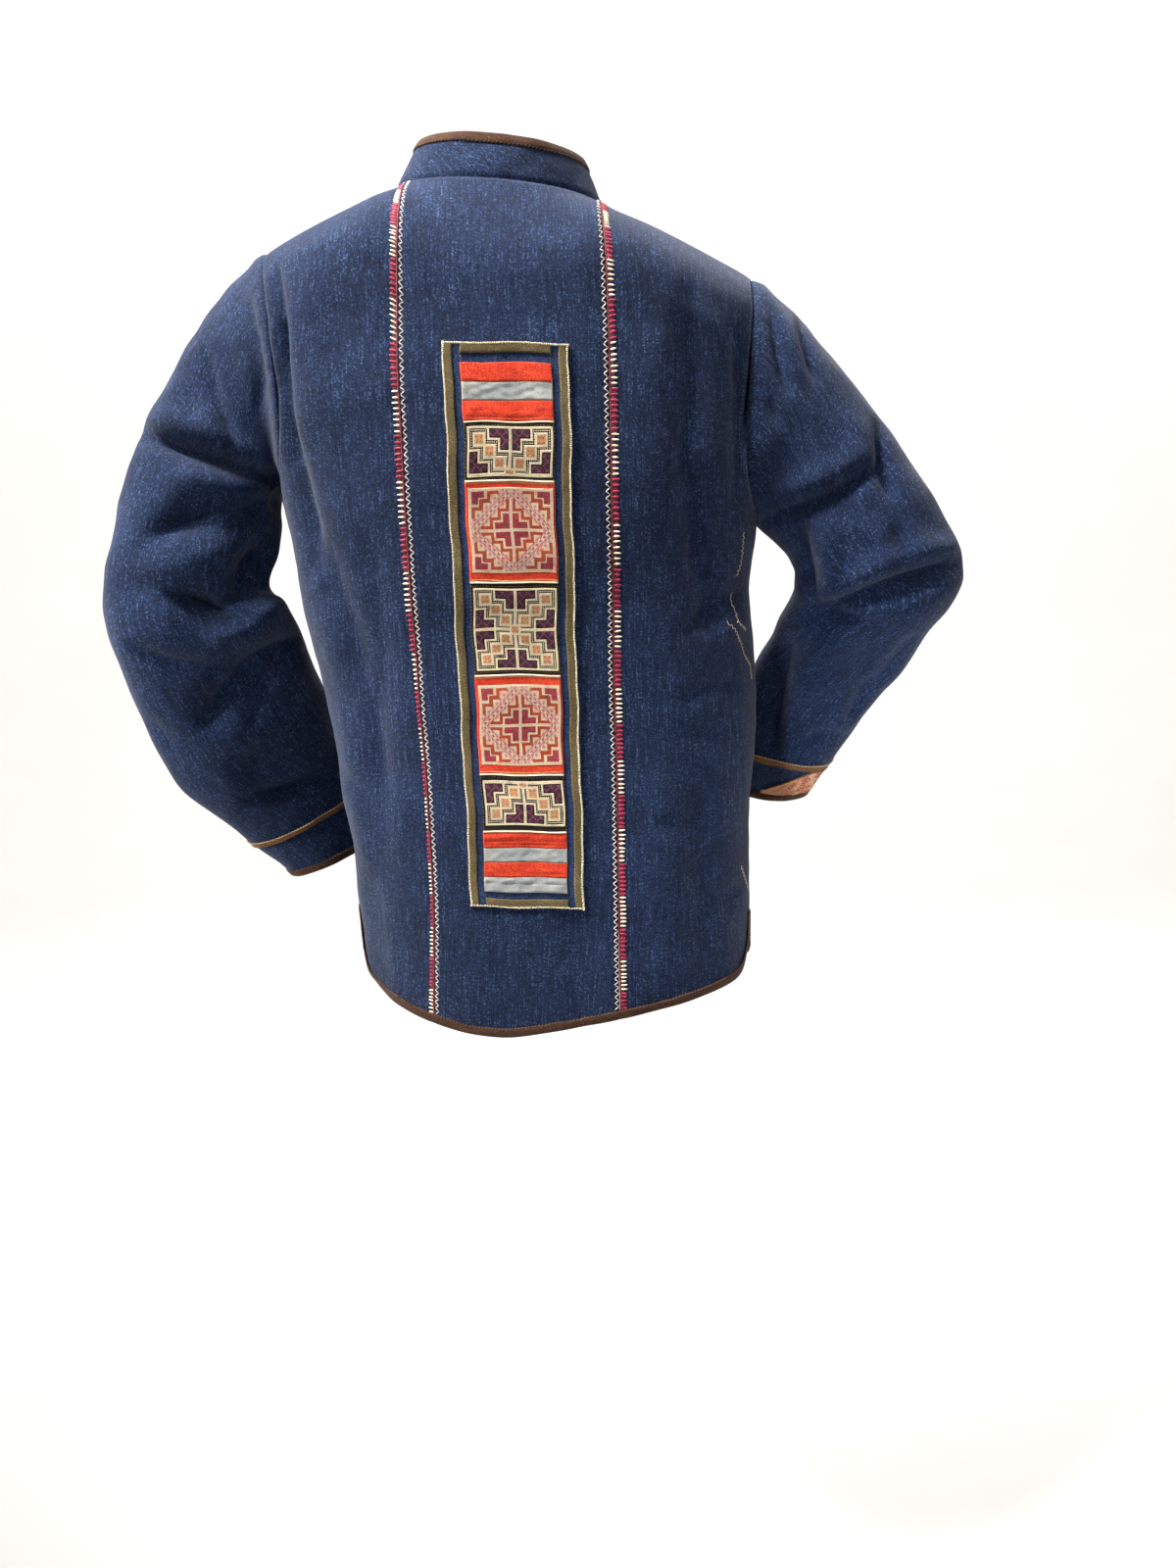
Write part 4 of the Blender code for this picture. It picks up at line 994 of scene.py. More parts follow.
def build_mesh(name, points, polygons, materials, slots=None, uv=None):
    """An object from points and arrays of polygons. uv holds one pair for each point."""
    mesh = bpy.data.meshes.new(name)
    corners = np.concatenate([p.ravel() for p in polygons])
    sizes = np.concatenate([np.full(len(p), p.shape[1]) for p in polygons])
    mesh.vertices.add(len(points))
    mesh.vertices.foreach_set("co", np.ascontiguousarray(points, np.float32).ravel())
    mesh.loops.add(len(corners))
    mesh.loops.foreach_set("vertex_index", corners.astype(np.int32))
    mesh.polygons.add(len(sizes))
    mesh.polygons.foreach_set("loop_start", (np.cumsum(sizes) - sizes).astype(np.int32))
    mesh.polygons.foreach_set("use_smooth", np.ones(len(sizes), bool))
    for made in materials:
        mesh.materials.append(made)
    if slots is not None:
        mesh.polygons.foreach_set("material_index", np.asarray(slots, np.int32))
    if uv is not None:
        layer = mesh.uv_layers.new(name="cloth")
        layer.data.foreach_set("uv", uv[corners].astype(np.float32).ravel())
    mesh.update(calc_edges=True)
    mesh.validate()
    made = bpy.data.objects.new(name, mesh)
    bpy.context.scene.collection.objects.link(made)
    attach(made, "root")
    return made


def quads_of(number):
    """The four-cornered faces between the numbered points of a grid."""
    corners = number[:-1, :-1], number[:-1, 1:], number[1:, 1:], number[1:, :-1]
    return np.stack(corners, -1).reshape(-1, 4)


def shell(name, outer, inner, material, slot, closed=False):
    """A closed shell between two grids. closed says that the rows go all the way round."""
    rows, columns = outer.shape[:2]
    if closed:
        # The seam's column is there twice, so that the UV map can be cut along it.
        outer, inner, columns = looped(outer), looped(inner), columns + 1
    across = lengths(outer.swapaxes(0, 1)).T
    along = np.repeat(lengths(outer).mean(axis=1)[:, None], columns, axis=1)
    uv = np.stack([across, along], -1).reshape(-1, 2)
    number = np.arange(rows * columns).reshape(rows, columns)
    if closed:
        number[:, -1] = number[:, 0]
    face = quads_of(number)
    back = rows * columns
    parts = [face, face[:, ::-1] + back]
    rims = [number[0], number[-1][::-1]]
    if not closed:
        rims = [np.concatenate([number[0], number[1:, -1], number[-1, -2::-1], number[-2:0:-1, 0],
                                number[0, :1]])]
    for rim in rims:
        p, q = rim[:-1], rim[1:]
        parts.append(np.stack([q, p, p + back, q + back], -1))
    points = np.concatenate([outer.reshape(-1, 3), inner.reshape(-1, 3)])
    corners = points[face[:, [0, 1, 2]]]
    facing = np.cross(corners[:, 1] - corners[:, 0], corners[:, 2] - corners[:, 0])
    if (facing * (points[face[:, 0]] - points[face[:, 0] + back])).sum() < 0:
        parts = [p[:, ::-1] for p in parts]
    made = build_mesh(name, points, parts, [material], None, np.concatenate([uv, uv]))
    return made


def cut_of(outer, closed=False):
    """((width, length), area) of the flat cloth, measured on the finished grid."""
    grid = looped(outer) if closed else outer
    across, along = lengths(grid.swapaxes(0, 1)), lengths(grid)
    edges = grid[:-1, 1:] - grid[:-1, :-1], grid[1:, :-1] - grid[:-1, :-1]
    area = np.linalg.norm(np.cross(*edges), axis=-1).sum()
    width, length = float(across[-1].max()), float(along[-1].max())
    return (width, length), min(float(area), width * length)


pieces, sheets = {}, []


def cloth(node, outer, inner, material, held, rests_on, closed=False):
    """A cloth piece that stands for one solid, noted in the list of sheets."""
    made = shell(node + "_cloth", outer, inner, material, node, closed)
    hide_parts(node)
    flat, area = cut_of(outer, closed)
    pieces[node] = made
    sheets.append((node, flat, area, held, rests_on))


for name, grid in grids.items():
    cloth(name, grid, grid - normals[name] * WALL, CLOTH["indigo"], "draped", ["collar"])
print("body", [len(piece.data.polygons) for piece in pieces.values()])

# %% [markdown]
# ## The sleeves
# A sleeve starts at the armhole, as the loop of the body's edges, and runs through the rings of
# its table to the cuff. The inner bend of the elbow throws the deepest folds of the jacket.

# %% Sleeves and cuffs
TUCK = 0.0012  # how far the sleeve's first ring goes under the body's edge
CUFF_LONG = 0.045  # from where the folds have died away to the cuff's edge
FINE_CUFF = 0.0022  # space between the cuff's rings


def fold_sleeve(rings, side, turn, place):
    """The rings with the folds of the sleeve's back and front, none of them on the cuff."""
    normal = normals_of(rings, closed=True)
    flat = rings[..., [0, 2]]
    height, draw = 0, 0
    facing = {"back": ease((np.sin(turn) + 0.1) / 0.5), "front": ease((0.1 - np.sin(turn)) / 0.5)}
    for face, shown in facing.items():
        high, pulled = folds(flat, SLEEVE_FOLDS[side, face])
        height, draw = height + high * shown, draw + pulled * shown[:, None]
    cuff = place[-1] - CUFF_LONG
    calm = ease(place / 0.020)[:, None] * ease((cuff - place) / 0.020)[:, None]
    height, draw = height * calm, draw * calm[..., None]
    # The sleeve puffs out a little just beyond the seam, which pulls small puckers into it.
    near = np.exp(-(((place - 0.010) / 0.008) ** 2))[:, None]
    height += near * (0.0012 + 0.0004 * np.sin(turn * 33) + 0.0003 * np.sin(turn * 51 + 2))
    height += 0.0006 * uneven(rings, 0.028, 11) * ease(place / 0.02)[:, None]
    height += 0.0011 * uneven(rings, 0.060, 12) * ease(place / 0.03)[:, None]
    return moved(rings, normal, height, draw)


sleeves = {}
for side in SIDES:
    rings, turn = sleeve_rings(side, *armhole_loop(side))
    place = lengths(rings).mean(axis=1)
    rings[0] += unit(rings[1] - rings[0]) * GAP
    fine, number = finer_columns(rings, closed=True)
    sweep = np.interp(number, np.arange(len(turn) + 1), np.append(turn, turn[0] + 2 * np.pi))
    seam, end = place[-3], place[-1]
    at = np.concatenate([np.linspace(0, seam, int(seam / FINE) + 1),
                         np.linspace(seam, end, int((end - seam) / FINE_CUFF) + 1)[1:]])
    fine = relaxed(finer_rows(fine, place, at), 6, closed=True)
    fine = fold_sleeve(fine, side, sweep, at)
    normal = normals_of(fine, closed=True)
    fine[0] -= normal[0] * TUCK
    last = int(np.argmin(np.abs(at - seam)))
    tube, cuff = slice(0, last + 1), slice(last, None)
    sleeves[side] = {"grid": fine, "normal": normal, "turn": sweep, "at": at, "seam": last}
    within = fine - normal * WALL
    for node, rings, rests_on in (("sleeve", tube, "back"), ("cuff", cuff, "sleeve")):
        cloth(f"{node}_{side}", fine[rings], within[rings], CLOTH["indigo"], "draped",
              [f"{rests_on}_{side}"], closed=True)
    print(side, "sleeve", fine.shape[:2], "seam row", last)

# %% [markdown]
# ## The collar
# A plain stand collar, one double strip of the same cloth, 34 mm high. It leans in towards the
# neck, so its top edge is a little shorter than its seam.

# %% Collar
COLLAR_WALL = 0.0020
COLLAR_OPEN = 2.2  # degrees on each side of the front's middle


def collar_grid():
    """Three coarse rows of the collar, from its seam to its top."""
    turns = np.radians(np.linspace(-90 + COLLAR_OPEN, 270 - COLLAR_OPEN, 33))
    ring = []
    for level in (0.0, 0.5, 1.0):
        x = NECK[0] + NECK[2] * (1 - 0.20 * level) * np.cos(turns)
        y = NECK[1] - NECK[3] * (1 - 0.12 * level) * np.sin(turns) + NECK_TURN * x
        xb, yb = NECK[0] + NECK[2] * np.cos(turns), -NECK[3] * np.sin(turns)
        z = neck_height(xb, yb + NECK_TURN * xb) + (2 if level else 3) * GAP
        z = z + level * (COLLAR_HIGH - 2 * GAP - PLY)
        ring.append(np.stack([x + 0.002 * level, y, z], -1))
    return np.array(ring)


ring = collar_grid()
collar_place = lengths(ring).mean(axis=1)
ring, _ = finer_columns(finer_rows(ring, collar_place, np.linspace(0, collar_place[-1], 15)), 0.0025)
out = normals_of(ring)
high = np.linspace(0, 1, len(ring))[:, None]
# The band swells a little above its seam, where the cloth is turned in.
ring = ring + out * (0.0007 * np.sin(np.pi * high) + 0.0004 * uneven(ring, 0.025, 21))[..., None]
# Its foot is turned in behind the neck's edge.
foot = ring[0] - out[0] * 0.0019 - [0, 0, 0.0032]
ring[0] -= out[0] * 0.0012
ring = np.concatenate([foot[None], ring])
out = normals_of(ring)
cloth("collar", ring, ring - out * COLLAR_WALL, CLOTH["indigo"], "stretched", ["back_middle"])
print("collar", ring.shape[:2])

# %% [markdown]
# ## Bound edges
# Each raw edge is closed in a folded brown strip, 7 mm deep on both faces. Its section is a slim
# U with a rounded turn, drawn along the edge.

# %% Bindings


def binding(node, path, out, into, ply=WALL, closed=False):
    """The strip along an edge: out is the cloth's normal, and into points into the cloth."""
    # Its section, as (distance out of the cloth's middle, distance into the cloth): down the outer
    # face, round the turn, up the back face, and back along the inside.
    near, far = ply / 2 + GAP, ply / 2 + GAP + PLY
    around_it = [(far - 0.0005, BIND), (far, BIND - 0.0008), (far + 0.0002, BIND * 0.55), (far, 0.0012)]
    turns = np.radians(np.linspace(20, 160, 6))
    around_it += [(far * math.cos(t), 0.0004 - (PLY + GAP + 0.0004) * math.sin(t)) for t in turns]
    around_it += [(-a, b) for a, b in around_it[3::-1]]
    around_it += [(-near, BIND), (-near, 0.0002), (near, 0.0002), (near, BIND)]
    middle = path - out * ply / 2
    along = lengths(path)
    waver = 1 + 0.06 * uneven(path, 0.020, 31)[:, None]
    rows = [middle + out * a + into * b * (waver if b > 0.004 else 1) for a, b in around_it]
    grid = np.stack(rows, 1)
    ring = looped(grid)
    across = lengths(ring.swapaxes(0, 1)).T
    if closed:
        ring = np.concatenate([ring, ring[:1]])
        across = np.concatenate([across, across[:1]])
        along = np.append(along, along[-1] + np.linalg.norm(path[0] - path[-1]))
    rows, columns = ring.shape[:2]
    uv = np.stack([across, np.repeat(along[:, None], columns, 1)], -1).reshape(-1, 2)
    number = np.arange(rows * columns).reshape(rows, columns)
    number[:, -1] = number[:, 0]
    if closed:
        number[-1] = number[0]
    parts = [quads_of(number)]
    if not closed:
        parts += [number[:1, :-1][:, ::-1], number[-1:, :-1]]
    points = ring.reshape(-1, 3)
    quad = points[parts[0]]
    facing = np.cross(quad[:, 1] - quad[:, 0], quad[:, 3] - quad[:, 0])
    centre = np.repeat(grid.mean(axis=1), columns - 1, axis=0)[: len(quad)]
    if (facing * (quad.mean(axis=1) - centre)).sum() < 0:
        parts = [p[:, ::-1] for p in parts]
    made = build_mesh(node + "_strip", points, parts, [CLOTH["brown"]], None, uv)
    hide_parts(node)
    pieces[node] = made


def gather(parts):
    """Points and normals along an edge, from (piece, which of its points) in turn."""
    return [np.concatenate([table[name][at] for name, at in parts]) for table in (grids, normals)]


def into_body(path, out):
    """Direction from the body's edge into its cloth."""
    into = unit(np.cross(out, np.gradient(path, axis=0)))
    into *= np.sign(into[:, 2].sum())
    low = unit(onto_body(path + into * BIND) - path)
    return np.where(path[:, 2:3] < -0.10, low, into)


slit_row = int(np.searchsorted(ROW_AT, ROW_PLACE[SLIT_LEVEL + 1]))
hem_path, hem_out = gather([
    ("back_left", (slice(slit_row, 0, -1), -1)),
    ("back_left", (0, slice(None, None, -1))),
    ("back_middle", (0, slice(1, -1))),
    ("back_right", (0, slice(None))),
    ("back_right", (slice(1, slit_row + 1), -1)),
])
hem_into = into_body(hem_path, hem_out)
binding("hem_binding_back", hem_path, hem_out, hem_into)
edge_paths = {}
for side in SIDES:
    path, out_of = gather([
        (f"front_{side}", (slice(-1, 0, -1), 0)),
        (f"front_{side}", (0, slice(None))),
        (f"side_{side}", (0, slice(-2, None, -1))),
        (f"side_{side}", (slice(1, slit_row + 1), 0)),
    ])
    edge_paths[side] = path, out_of, into_body(path, out_of)
    binding(f"edge_binding_{side}", *edge_paths[side], WALL + GAP)
collar_edge = ring[-1], out[-1], unit(ring[-4] - ring[-1])
binding("collar_binding", *collar_edge, COLLAR_WALL)
for side in SIDES:
    sleeve = sleeves[side]
    grid, normal = sleeve["grid"], sleeve["normal"]
    sleeve["into"] = unit(grid[-5] - grid[-1])
    binding(f"cuff_binding_{side}", grid[-1], normal[-1], sleeve["into"], WALL + 2 * GAP, closed=True)
print("bindings", len(pieces))

# %% [markdown]
# ## Working on a cloth as if it were flat
# Everything that is sewn on a cloth is drawn flat, in metres across and along it, and then laid
# on: a pair of distances finds its place on the grid, and a height lifts it off. So a stitch keeps
# its size where the cloth bends.

# %% Laying on
ROW_APART = 10.0  # wider than any cloth, so that the rows can be searched as one long line


def chart_of(grid, normal, column=0, along=None):
    """What lay needs: distances across from a column, and along that column."""
    across = lengths(grid.swapaxes(0, 1)).T
    across = across - across[:, column : column + 1]
    along = lengths(grid[:, column]) if along is None else along
    return {"grid": grid, "normal": normal, "across": across, "along": along}


def lay(chart, across, along, lift):
    """Points in space of flat places on a cloth."""
    rows, columns = chart["across"].shape
    across, along = np.broadcast_arrays(np.asarray(across, float), np.asarray(along, float))
    if "waver" in chart:
        across, along = chart["waver"](across, along)
    r = np.interp(along, chart["along"], np.arange(rows))
    i = np.clip(r.astype(int), 0, rows - 2)
    in_line = (chart["across"] + ROW_APART * np.arange(rows)[:, None]).ravel()
    j = np.searchsorted(in_line, across + ROW_APART * i) - 1 - i * columns
    j = np.clip(j, 0, columns - 2)
    left, right = chart["across"][i, j], chart["across"][i, j + 1]
    t = np.clip((across - left) / (right - left), 0, 1)[..., None]
    s = np.clip(r - i, 0, 1)[..., None]

    def mix(a):
        upper = (1 - t) * a[i + 1, j] + t * a[i + 1, j + 1]
        return (1 - s) * ((1 - t) * a[i, j] + t * a[i, j + 1]) + s * upper

    return mix(chart["grid"]) + unit(mix(chart["normal"])) * np.asarray(lift, float)[..., None]


def near_place(chart, x, z):
    """The flat place on a cloth that is nearest to an x and a z."""
    off = (chart["grid"][..., 0] - x) ** 2 + (chart["grid"][..., 2] - z) ** 2
    i, j = np.unravel_index(np.argmin(off), off.shape)
    return float(chart["across"][i, j]), float(chart["along"][i])


# %% [markdown]
# ## Stitches
# A stitch is a short length of thread that comes up out of the cloth, lies on it and goes down
# again. Its section is half an oval, and its ends are lower and thinner than its middle. All the
# stitches of one kind are made in one go, as arrays, and a table holds the sizes of each kind.

# %% Stitches
BUMP = (0.45, 1.0, 1.0, 0.45)  # a short stitch's fullness along it
# thread, width, height, lift off the cloth, fullness along it, points round its section
STITCH = {
    "holding row": ("ochre", 0.00022, 0.0003, OVER, BUMP, 4),
    "holding line": ("ochre", 0.0002, 0.00025, OVER, BUMP, 4),
    "whip": ("cream", 0.0008, 0.0005, (0.0002, OVER, OVER, OVER - 0.0001), (0.9, 1, 1, 0.5), 4),
    "seam zigzag": ("white", 0.00078, 0.0006, 0.0, BUMP, 5),
    "cord": ("wine", 0.0014, 0.0009, 0.0, BUMP, 5),
    "wine row": ("wine", 0.0015, 0.0004, 0.0, BUMP, 4),
    "cream": ("cream", 0.0017, 0.0008, 0.0001, (0.6, 0.95, 1.0, 0.95, 0.8, 0.35), 5),
    "crimson": ("crimson", 0.0021, 0.0008, 0.0001, (0.7, 0.95, 1, 1, 0.9, 0.5), 5),
    "cuff zigzag": ("gold", 0.0009, 0.0009, 0.0008, BUMP, 5),
    "cuff edge": ("brown", 0.0005, 0.0006, 0.0012, BUMP, 4),
    "hook": ("russet", 0.00095, 0.0007, UNDER + 0.0002, (0.8, 1, 1, 0.8), 4),
    "inner cord": ("gold", 0.0012, 0.0009, UNDER, (1, 1), 5),
    "outer cord": ("brown", 0.0009, 0.0009, UNDER, (1, 1), 5),
    "binding": ("brown", 0.0004, 0.0004, (UNDER, UNDER, 0.0006, 0.0001), BUMP, 4),
    "armhole": ("dark", 0.0004, 0.0003, 0.0, BUMP, 4),
    "mending": ("gold", 0.0006, 0.0005, 0.0, BUMP, 5),
}


def between(starts, ends, shares):
    """Places along lines from starts to ends, as an array of line, station, across/along."""
    t = np.asarray(shares, float)[None, :, None]
    return starts[:, None] * (1 - t) + ends[:, None] * t


def stitches(chart, paths, wide, high, lift=0.0, shape=(1, 1), sides=5):
    """(points, polygons) of threads along flat paths, an array of thread, station, across/along.

    shape holds the thread's fullness at each station.
    """
    paths = np.asarray(paths, float)
    count, stations = paths.shape[:2]
    run = unit(np.gradient(paths, axis=1))
    beside = np.stack([run[..., 1], -run[..., 0]], -1)
    full = np.interp(np.linspace(0, 1, stations), np.linspace(0, 1, len(shape)), shape)[None, :, None]
    turn = np.linspace(0, np.pi, sides)
    width = np.broadcast_to(np.asarray(wide, float), (count,))[:, None, None]
    off = width / 2 * full * np.cos(turn)
    flat = paths[:, :, None] + beside[:, :, None] * off[..., None]
    base = np.broadcast_to(np.asarray(lift, float), (stations,))[None, :, None]
    up = np.broadcast_to(high * full * np.sin(turn) + base, flat.shape[:3])
    points = lay(chart, flat[..., 0], flat[..., 1], up)
    number = np.arange(points[..., 0].size).reshape(count, stations, sides)
    a, b = number[:, :-1], number[:, 1:]
    quads = np.stack([a, b, np.roll(b, -1, 2), np.roll(a, -1, 2)], -1).reshape(-1, 4)
    caps = np.concatenate([number[:, 0], number[:, -1, ::-1]])
    return points.reshape(-1, 3), [quads, caps]


def worked(chart, paths, name, kind=None):
    """(part, thread's name) for stitches of one kind in the table, if need be in another thread."""
    usual, *sizes = STITCH[name]
    return stitches(chart, paths, *sizes), kind or usual


def outward(part):
    """The same part with its faces turned out, judged by the volume that they enclose."""
    points, polygons = part
    centre, volume = points.mean(axis=0), 0.0
    for faces in polygons:
        first = points[faces[:, 0]] - centre
        for k in range(1, faces.shape[1] - 1):
            second, third = points[faces[:, k]] - centre, points[faces[:, k + 1]] - centre
            volume += (np.cross(first, second) * third).sum()
    return part if volume > 0 else (points, [faces[:, ::-1] for faces in polygons])


def sewn(name, parts, slot):
    """One piece from several lots of stitches, a list of (part, thread's name)."""
    points, polygons, slots, start = [], {}, {}, 0
    names = sorted({kind for _, kind in parts})
    for part, kind in parts:
        lot, faces = outward(part)
        for face in faces:
            polygons.setdefault(face.shape[1], []).append(face + start)
            slots.setdefault(face.shape[1], []).append(np.full(len(face), names.index(kind)))
        points.append(lot)
        start += len(lot)
    sizes = sorted(polygons)
    made = build_mesh(name, np.concatenate(points), [np.concatenate(polygons[s]) for s in sizes],
                      [THREAD[kind] for kind in names],
                      np.concatenate([np.concatenate(slots[s]) for s in sizes]))
    return made


# %% [markdown]
# ## The back panel
# A narrow panel of cotton is sewn down the middle of the back: a navy ground, four olive strips
# for its border, and a stack of orange and pale stripes with five embroidered patches between.
# Each strip's raw edges are turned under, so its rim dips down to the cloth below it.

# %% Panel cloths
PANEL_TOP, PANEL_BOTTOM = -0.1275, -0.5750
OLIVE, NAVY = 0.0075, 0.0055  # widths of the two strips round the field
PANEL_HALF = 0.0955 / 2
FIELD = PANEL_HALF - OLIVE - NAVY
TURNED, RIM_DROP = 0.0010, 0.0006  # a turned-under edge: how wide, and how far its rim dips
# name, top z, bottom z, cloth, depth of its crumpling, tucks at these shares of its height
ROWS = (
    ("stripe_orange_1", -0.1420, -0.1562, "orange", 0.00022, ()),
    ("stripe_grey_1", -0.1562, -0.1700, "grey", 0.00040, ()),
    ("stripe_orange_2", -0.1700, -0.1850, "orange", 0.00022, (0.30, 0.58)),
    ("patch_black_top", -0.1850, -0.2290, "black", 0.00012, ()),
    ("patch_orange_top", -0.2290, -0.3070, "orange", 0.00015, ()),
    ("patch_black_middle", -0.3070, -0.3795, "black", 0.00012, ()),
    ("patch_orange_bottom", -0.3795, -0.4630, "orange", 0.00015, ()),
    ("patch_black_bottom", -0.4630, -0.5100, "black", 0.00012, ()),
    ("stripe_orange_3", -0.5100, -0.5237, "orange", 0.00024, (0.35, 0.62)),
    ("stripe_grey_2", -0.5237, -0.5358, "grey", 0.00045, ()),
    ("stripe_orange_4", -0.5358, -0.5487, "orange", 0.00024, (0.45,)),
    ("stripe_grey_3", -0.5487, -0.5620, "grey", 0.00045, (0.75,)),
)
middle = grids["back_middle"]
centre_column = middle.shape[1] // 2
MIDDLE = chart_of(middle, normals["back_middle"], centre_column, middle[:, centre_column, 2])


def hand_set(across, along):
    """Strips sewn by hand bow up a little in their middle, and the panel's edges waver."""
    bow = np.interp(along, (PANEL_BOTTOM, PANEL_TOP), (0.0003, 0.0013)) * (1 - (across / PANEL_HALF) ** 2)
    sway = 0.0006 * np.sin(along * 62 + 1) + 0.0003 * np.sin(along * 150)
    return across + sway, along + bow + 0.0004 * np.sin(across * 110 + along * 45)


MIDDLE["waver"] = hand_set


def places_between(start, end, step):
    """Places from one edge to the other, close together where each edge is turned under."""
    inside = np.linspace(start, end, max(6, int((end - start) / step) + 1))
    inside = inside[(inside > start + 1.5 * TURNED) & (inside < end - 1.5 * TURNED)]
    turn = np.array([0, 0.15, 0.5, 1.0]) * TURNED
    return np.concatenate([start + turn, inside, end - turn[::-1]])


def panel_piece(node, top, bottom, left, right, lift, colour, crumple=0.0002, tucks=(), step=0.0016):
    """A turned-under strip of the panel between two heights and two distances from the middle."""
    xs, zs = np.meshgrid(places_between(left, right, step), places_between(bottom, top, step))
    edge = np.minimum(np.minimum(xs - left, right - xs), np.minimum(zs - bottom, top - zs))
    high = lift - RIM_DROP * (1 - ease(edge / TURNED)) ** 2
    flat = np.stack([xs * 0.6, zs], -1)
    seed = int(1e4 * abs(top))
    crumpled = uneven(flat, 0.006, seed) + 0.7 * uneven(flat, 0.015, seed + 1)
    high += crumple * crumpled * ease(edge / 0.002)
    for share_of in tucks:
        level = bottom + (top - bottom) * share_of + 0.0003 * uneven(flat, 0.03, seed + 2)
        high += 0.0007 * np.exp(-(((zs - level) / 0.0007) ** 2))
        high -= 0.0006 * np.exp(-(((zs - level + 0.0013) / 0.0007) ** 2))
    outer = lay(MIDDLE, xs, zs, high)
    inner = lay(MIDDLE, xs, zs, lift - PLY)
    under = "back_middle" if node == "panel_ground" else "panel_ground"
    cloth(node, outer, inner, CLOTH[colour], "laid", [under])


half_gap = GAP / 2
border = PANEL_HALF - OLIVE + half_gap
for node, left, right, lift, colour, step in (
    ("panel_ground", -PANEL_HALF, PANEL_HALF, UNDER, "navy", 0.004),
    ("border_left", -PANEL_HALF, -border, OVER, "olive", 0.003),
    ("border_right", border, PANEL_HALF, OVER, "olive", 0.003),
):
    panel_piece(node, PANEL_TOP, PANEL_BOTTOM, left, right, lift, colour, step=step)
for node, top in (("border_top", PANEL_TOP), ("border_bottom", PANEL_BOTTOM + OLIVE)):
    panel_piece(node, top, top - OLIVE, -FIELD + half_gap, FIELD - half_gap, OVER, "olive")
for node, top, bottom, colour, crumple, tucks in ROWS:
    panel_piece(node, top - half_gap, bottom + half_gap, -FIELD, FIELD, OVER, colour, crumple, tucks)
print("panel", len(pieces))

# %% [markdown]
# ## The patches' charts
# Counted cross stitch is planned on squared paper, and so it is here. Each motif is symmetrical
# about its middle and its diagonals, so a short table of blocks for one eighth is enough. The
# numbers count stitches in from the outer edge, and 40 is the middle.

# %% Charts
HALF = 40
# thread, first and last stitch across, first and last stitch down
STEPPED = (
    ("cream", 0, 1, 0, 40),
    ("cream", 19, 20, 2, 11), ("cream", 19, 30, 10, 11), ("cream", 29, 30, 10, 21),
    ("cream", 29, 39, 20, 21), ("cream", 39, 40, 2, 34),
    ("plum", 22, 37, 3, 8), ("plum", 32, 37, 9, 18),
    ("cream", 5, 16, 5, 16), ("peach", 7, 14, 7, 14),
    ("cream", 15, 26, 15, 26), ("peach", 17, 24, 17, 24),
    ("cream", 25, 36, 25, 36), ("peach", 27, 34, 27, 34),
    ("cream", 35, 40, 35, 40), ("peach", 37, 40, 37, 40),
)
DIAMOND = (
    ("cream", 0, 40, 0, 40),
    ("rose", 3, 14, 3, 8), ("rose", 3, 7, 3, 14), ("cream", 15, 17, 2, 10),
    ("rust", 18, 28, 3, 5), ("rust", 18, 20, 3, 12), ("rust", 10, 20, 11, 13), ("rust", 10, 12, 11, 20),
    ("rust", 36, 38, 11, 22), ("rust", 28, 38, 20, 22), ("rust", 28, 30, 20, 30),
    ("rust", 20, 30, 28, 30),
    ("rose", 33, 38, 26, 34), ("rose", 25, 38, 33, 38), ("cream", 39, 40, 11, 40),
)
# Rows of single stitches, one in two: first x, first y, last x, last y.
DOTS = ((3, 3, 17, 3), (17, 3, 17, 13), (17, 13, 27, 13), (27, 13, 27, 23), (27, 23, 37, 23),
        (37, 23, 37, 33))


def both_ways(chart, kind, x0, x1, y0, y1):
    """Fills a block of the chart, and the same block on the other side of the diagonal."""
    chart[y0 : y1 + 1, x0 : x1 + 1] = kind
    chart[x0 : x1 + 1, y0 : y1 + 1] = kind


def charted(table):
    """A quarter's chart of thread names from a table of blocks, and each square's x and y."""
    chart = np.full((HALF + 1, HALF + 1), "none", dtype="<U8")
    for row in table:
        both_ways(chart, *row)
    return chart, *np.meshgrid(np.arange(HALF + 1), np.arange(HALF + 1))


def stepped_chart():
    """A quarter of the black patch's motif: a star of squares, crossing black dotted channels."""
    chart, x, y = charted(STEPPED)
    for start in (5, 15, 25, 35):
        a, b = np.abs(x - start - 5.5), np.abs(y - start - 5.5)
        chart[(a < 3) & (b < 3) & (np.abs(a - b) < 0.6) & (a > 1)] = "rust"
    lattice = (chart == "plum") & (((x + y) % 8 == 0) | ((x - y) % 8 == 0))
    chart[lattice] = "magenta"
    for x0, y0, x1, y1 in DOTS:
        for k in range(0, max(x1 - x0, y1 - y0) + 1, 2):
            a, b = (x0 + k, y0) if x1 > x0 else (x0, y0 + k)
            both_ways(chart, "cream", a, a, b, b)
    return chart


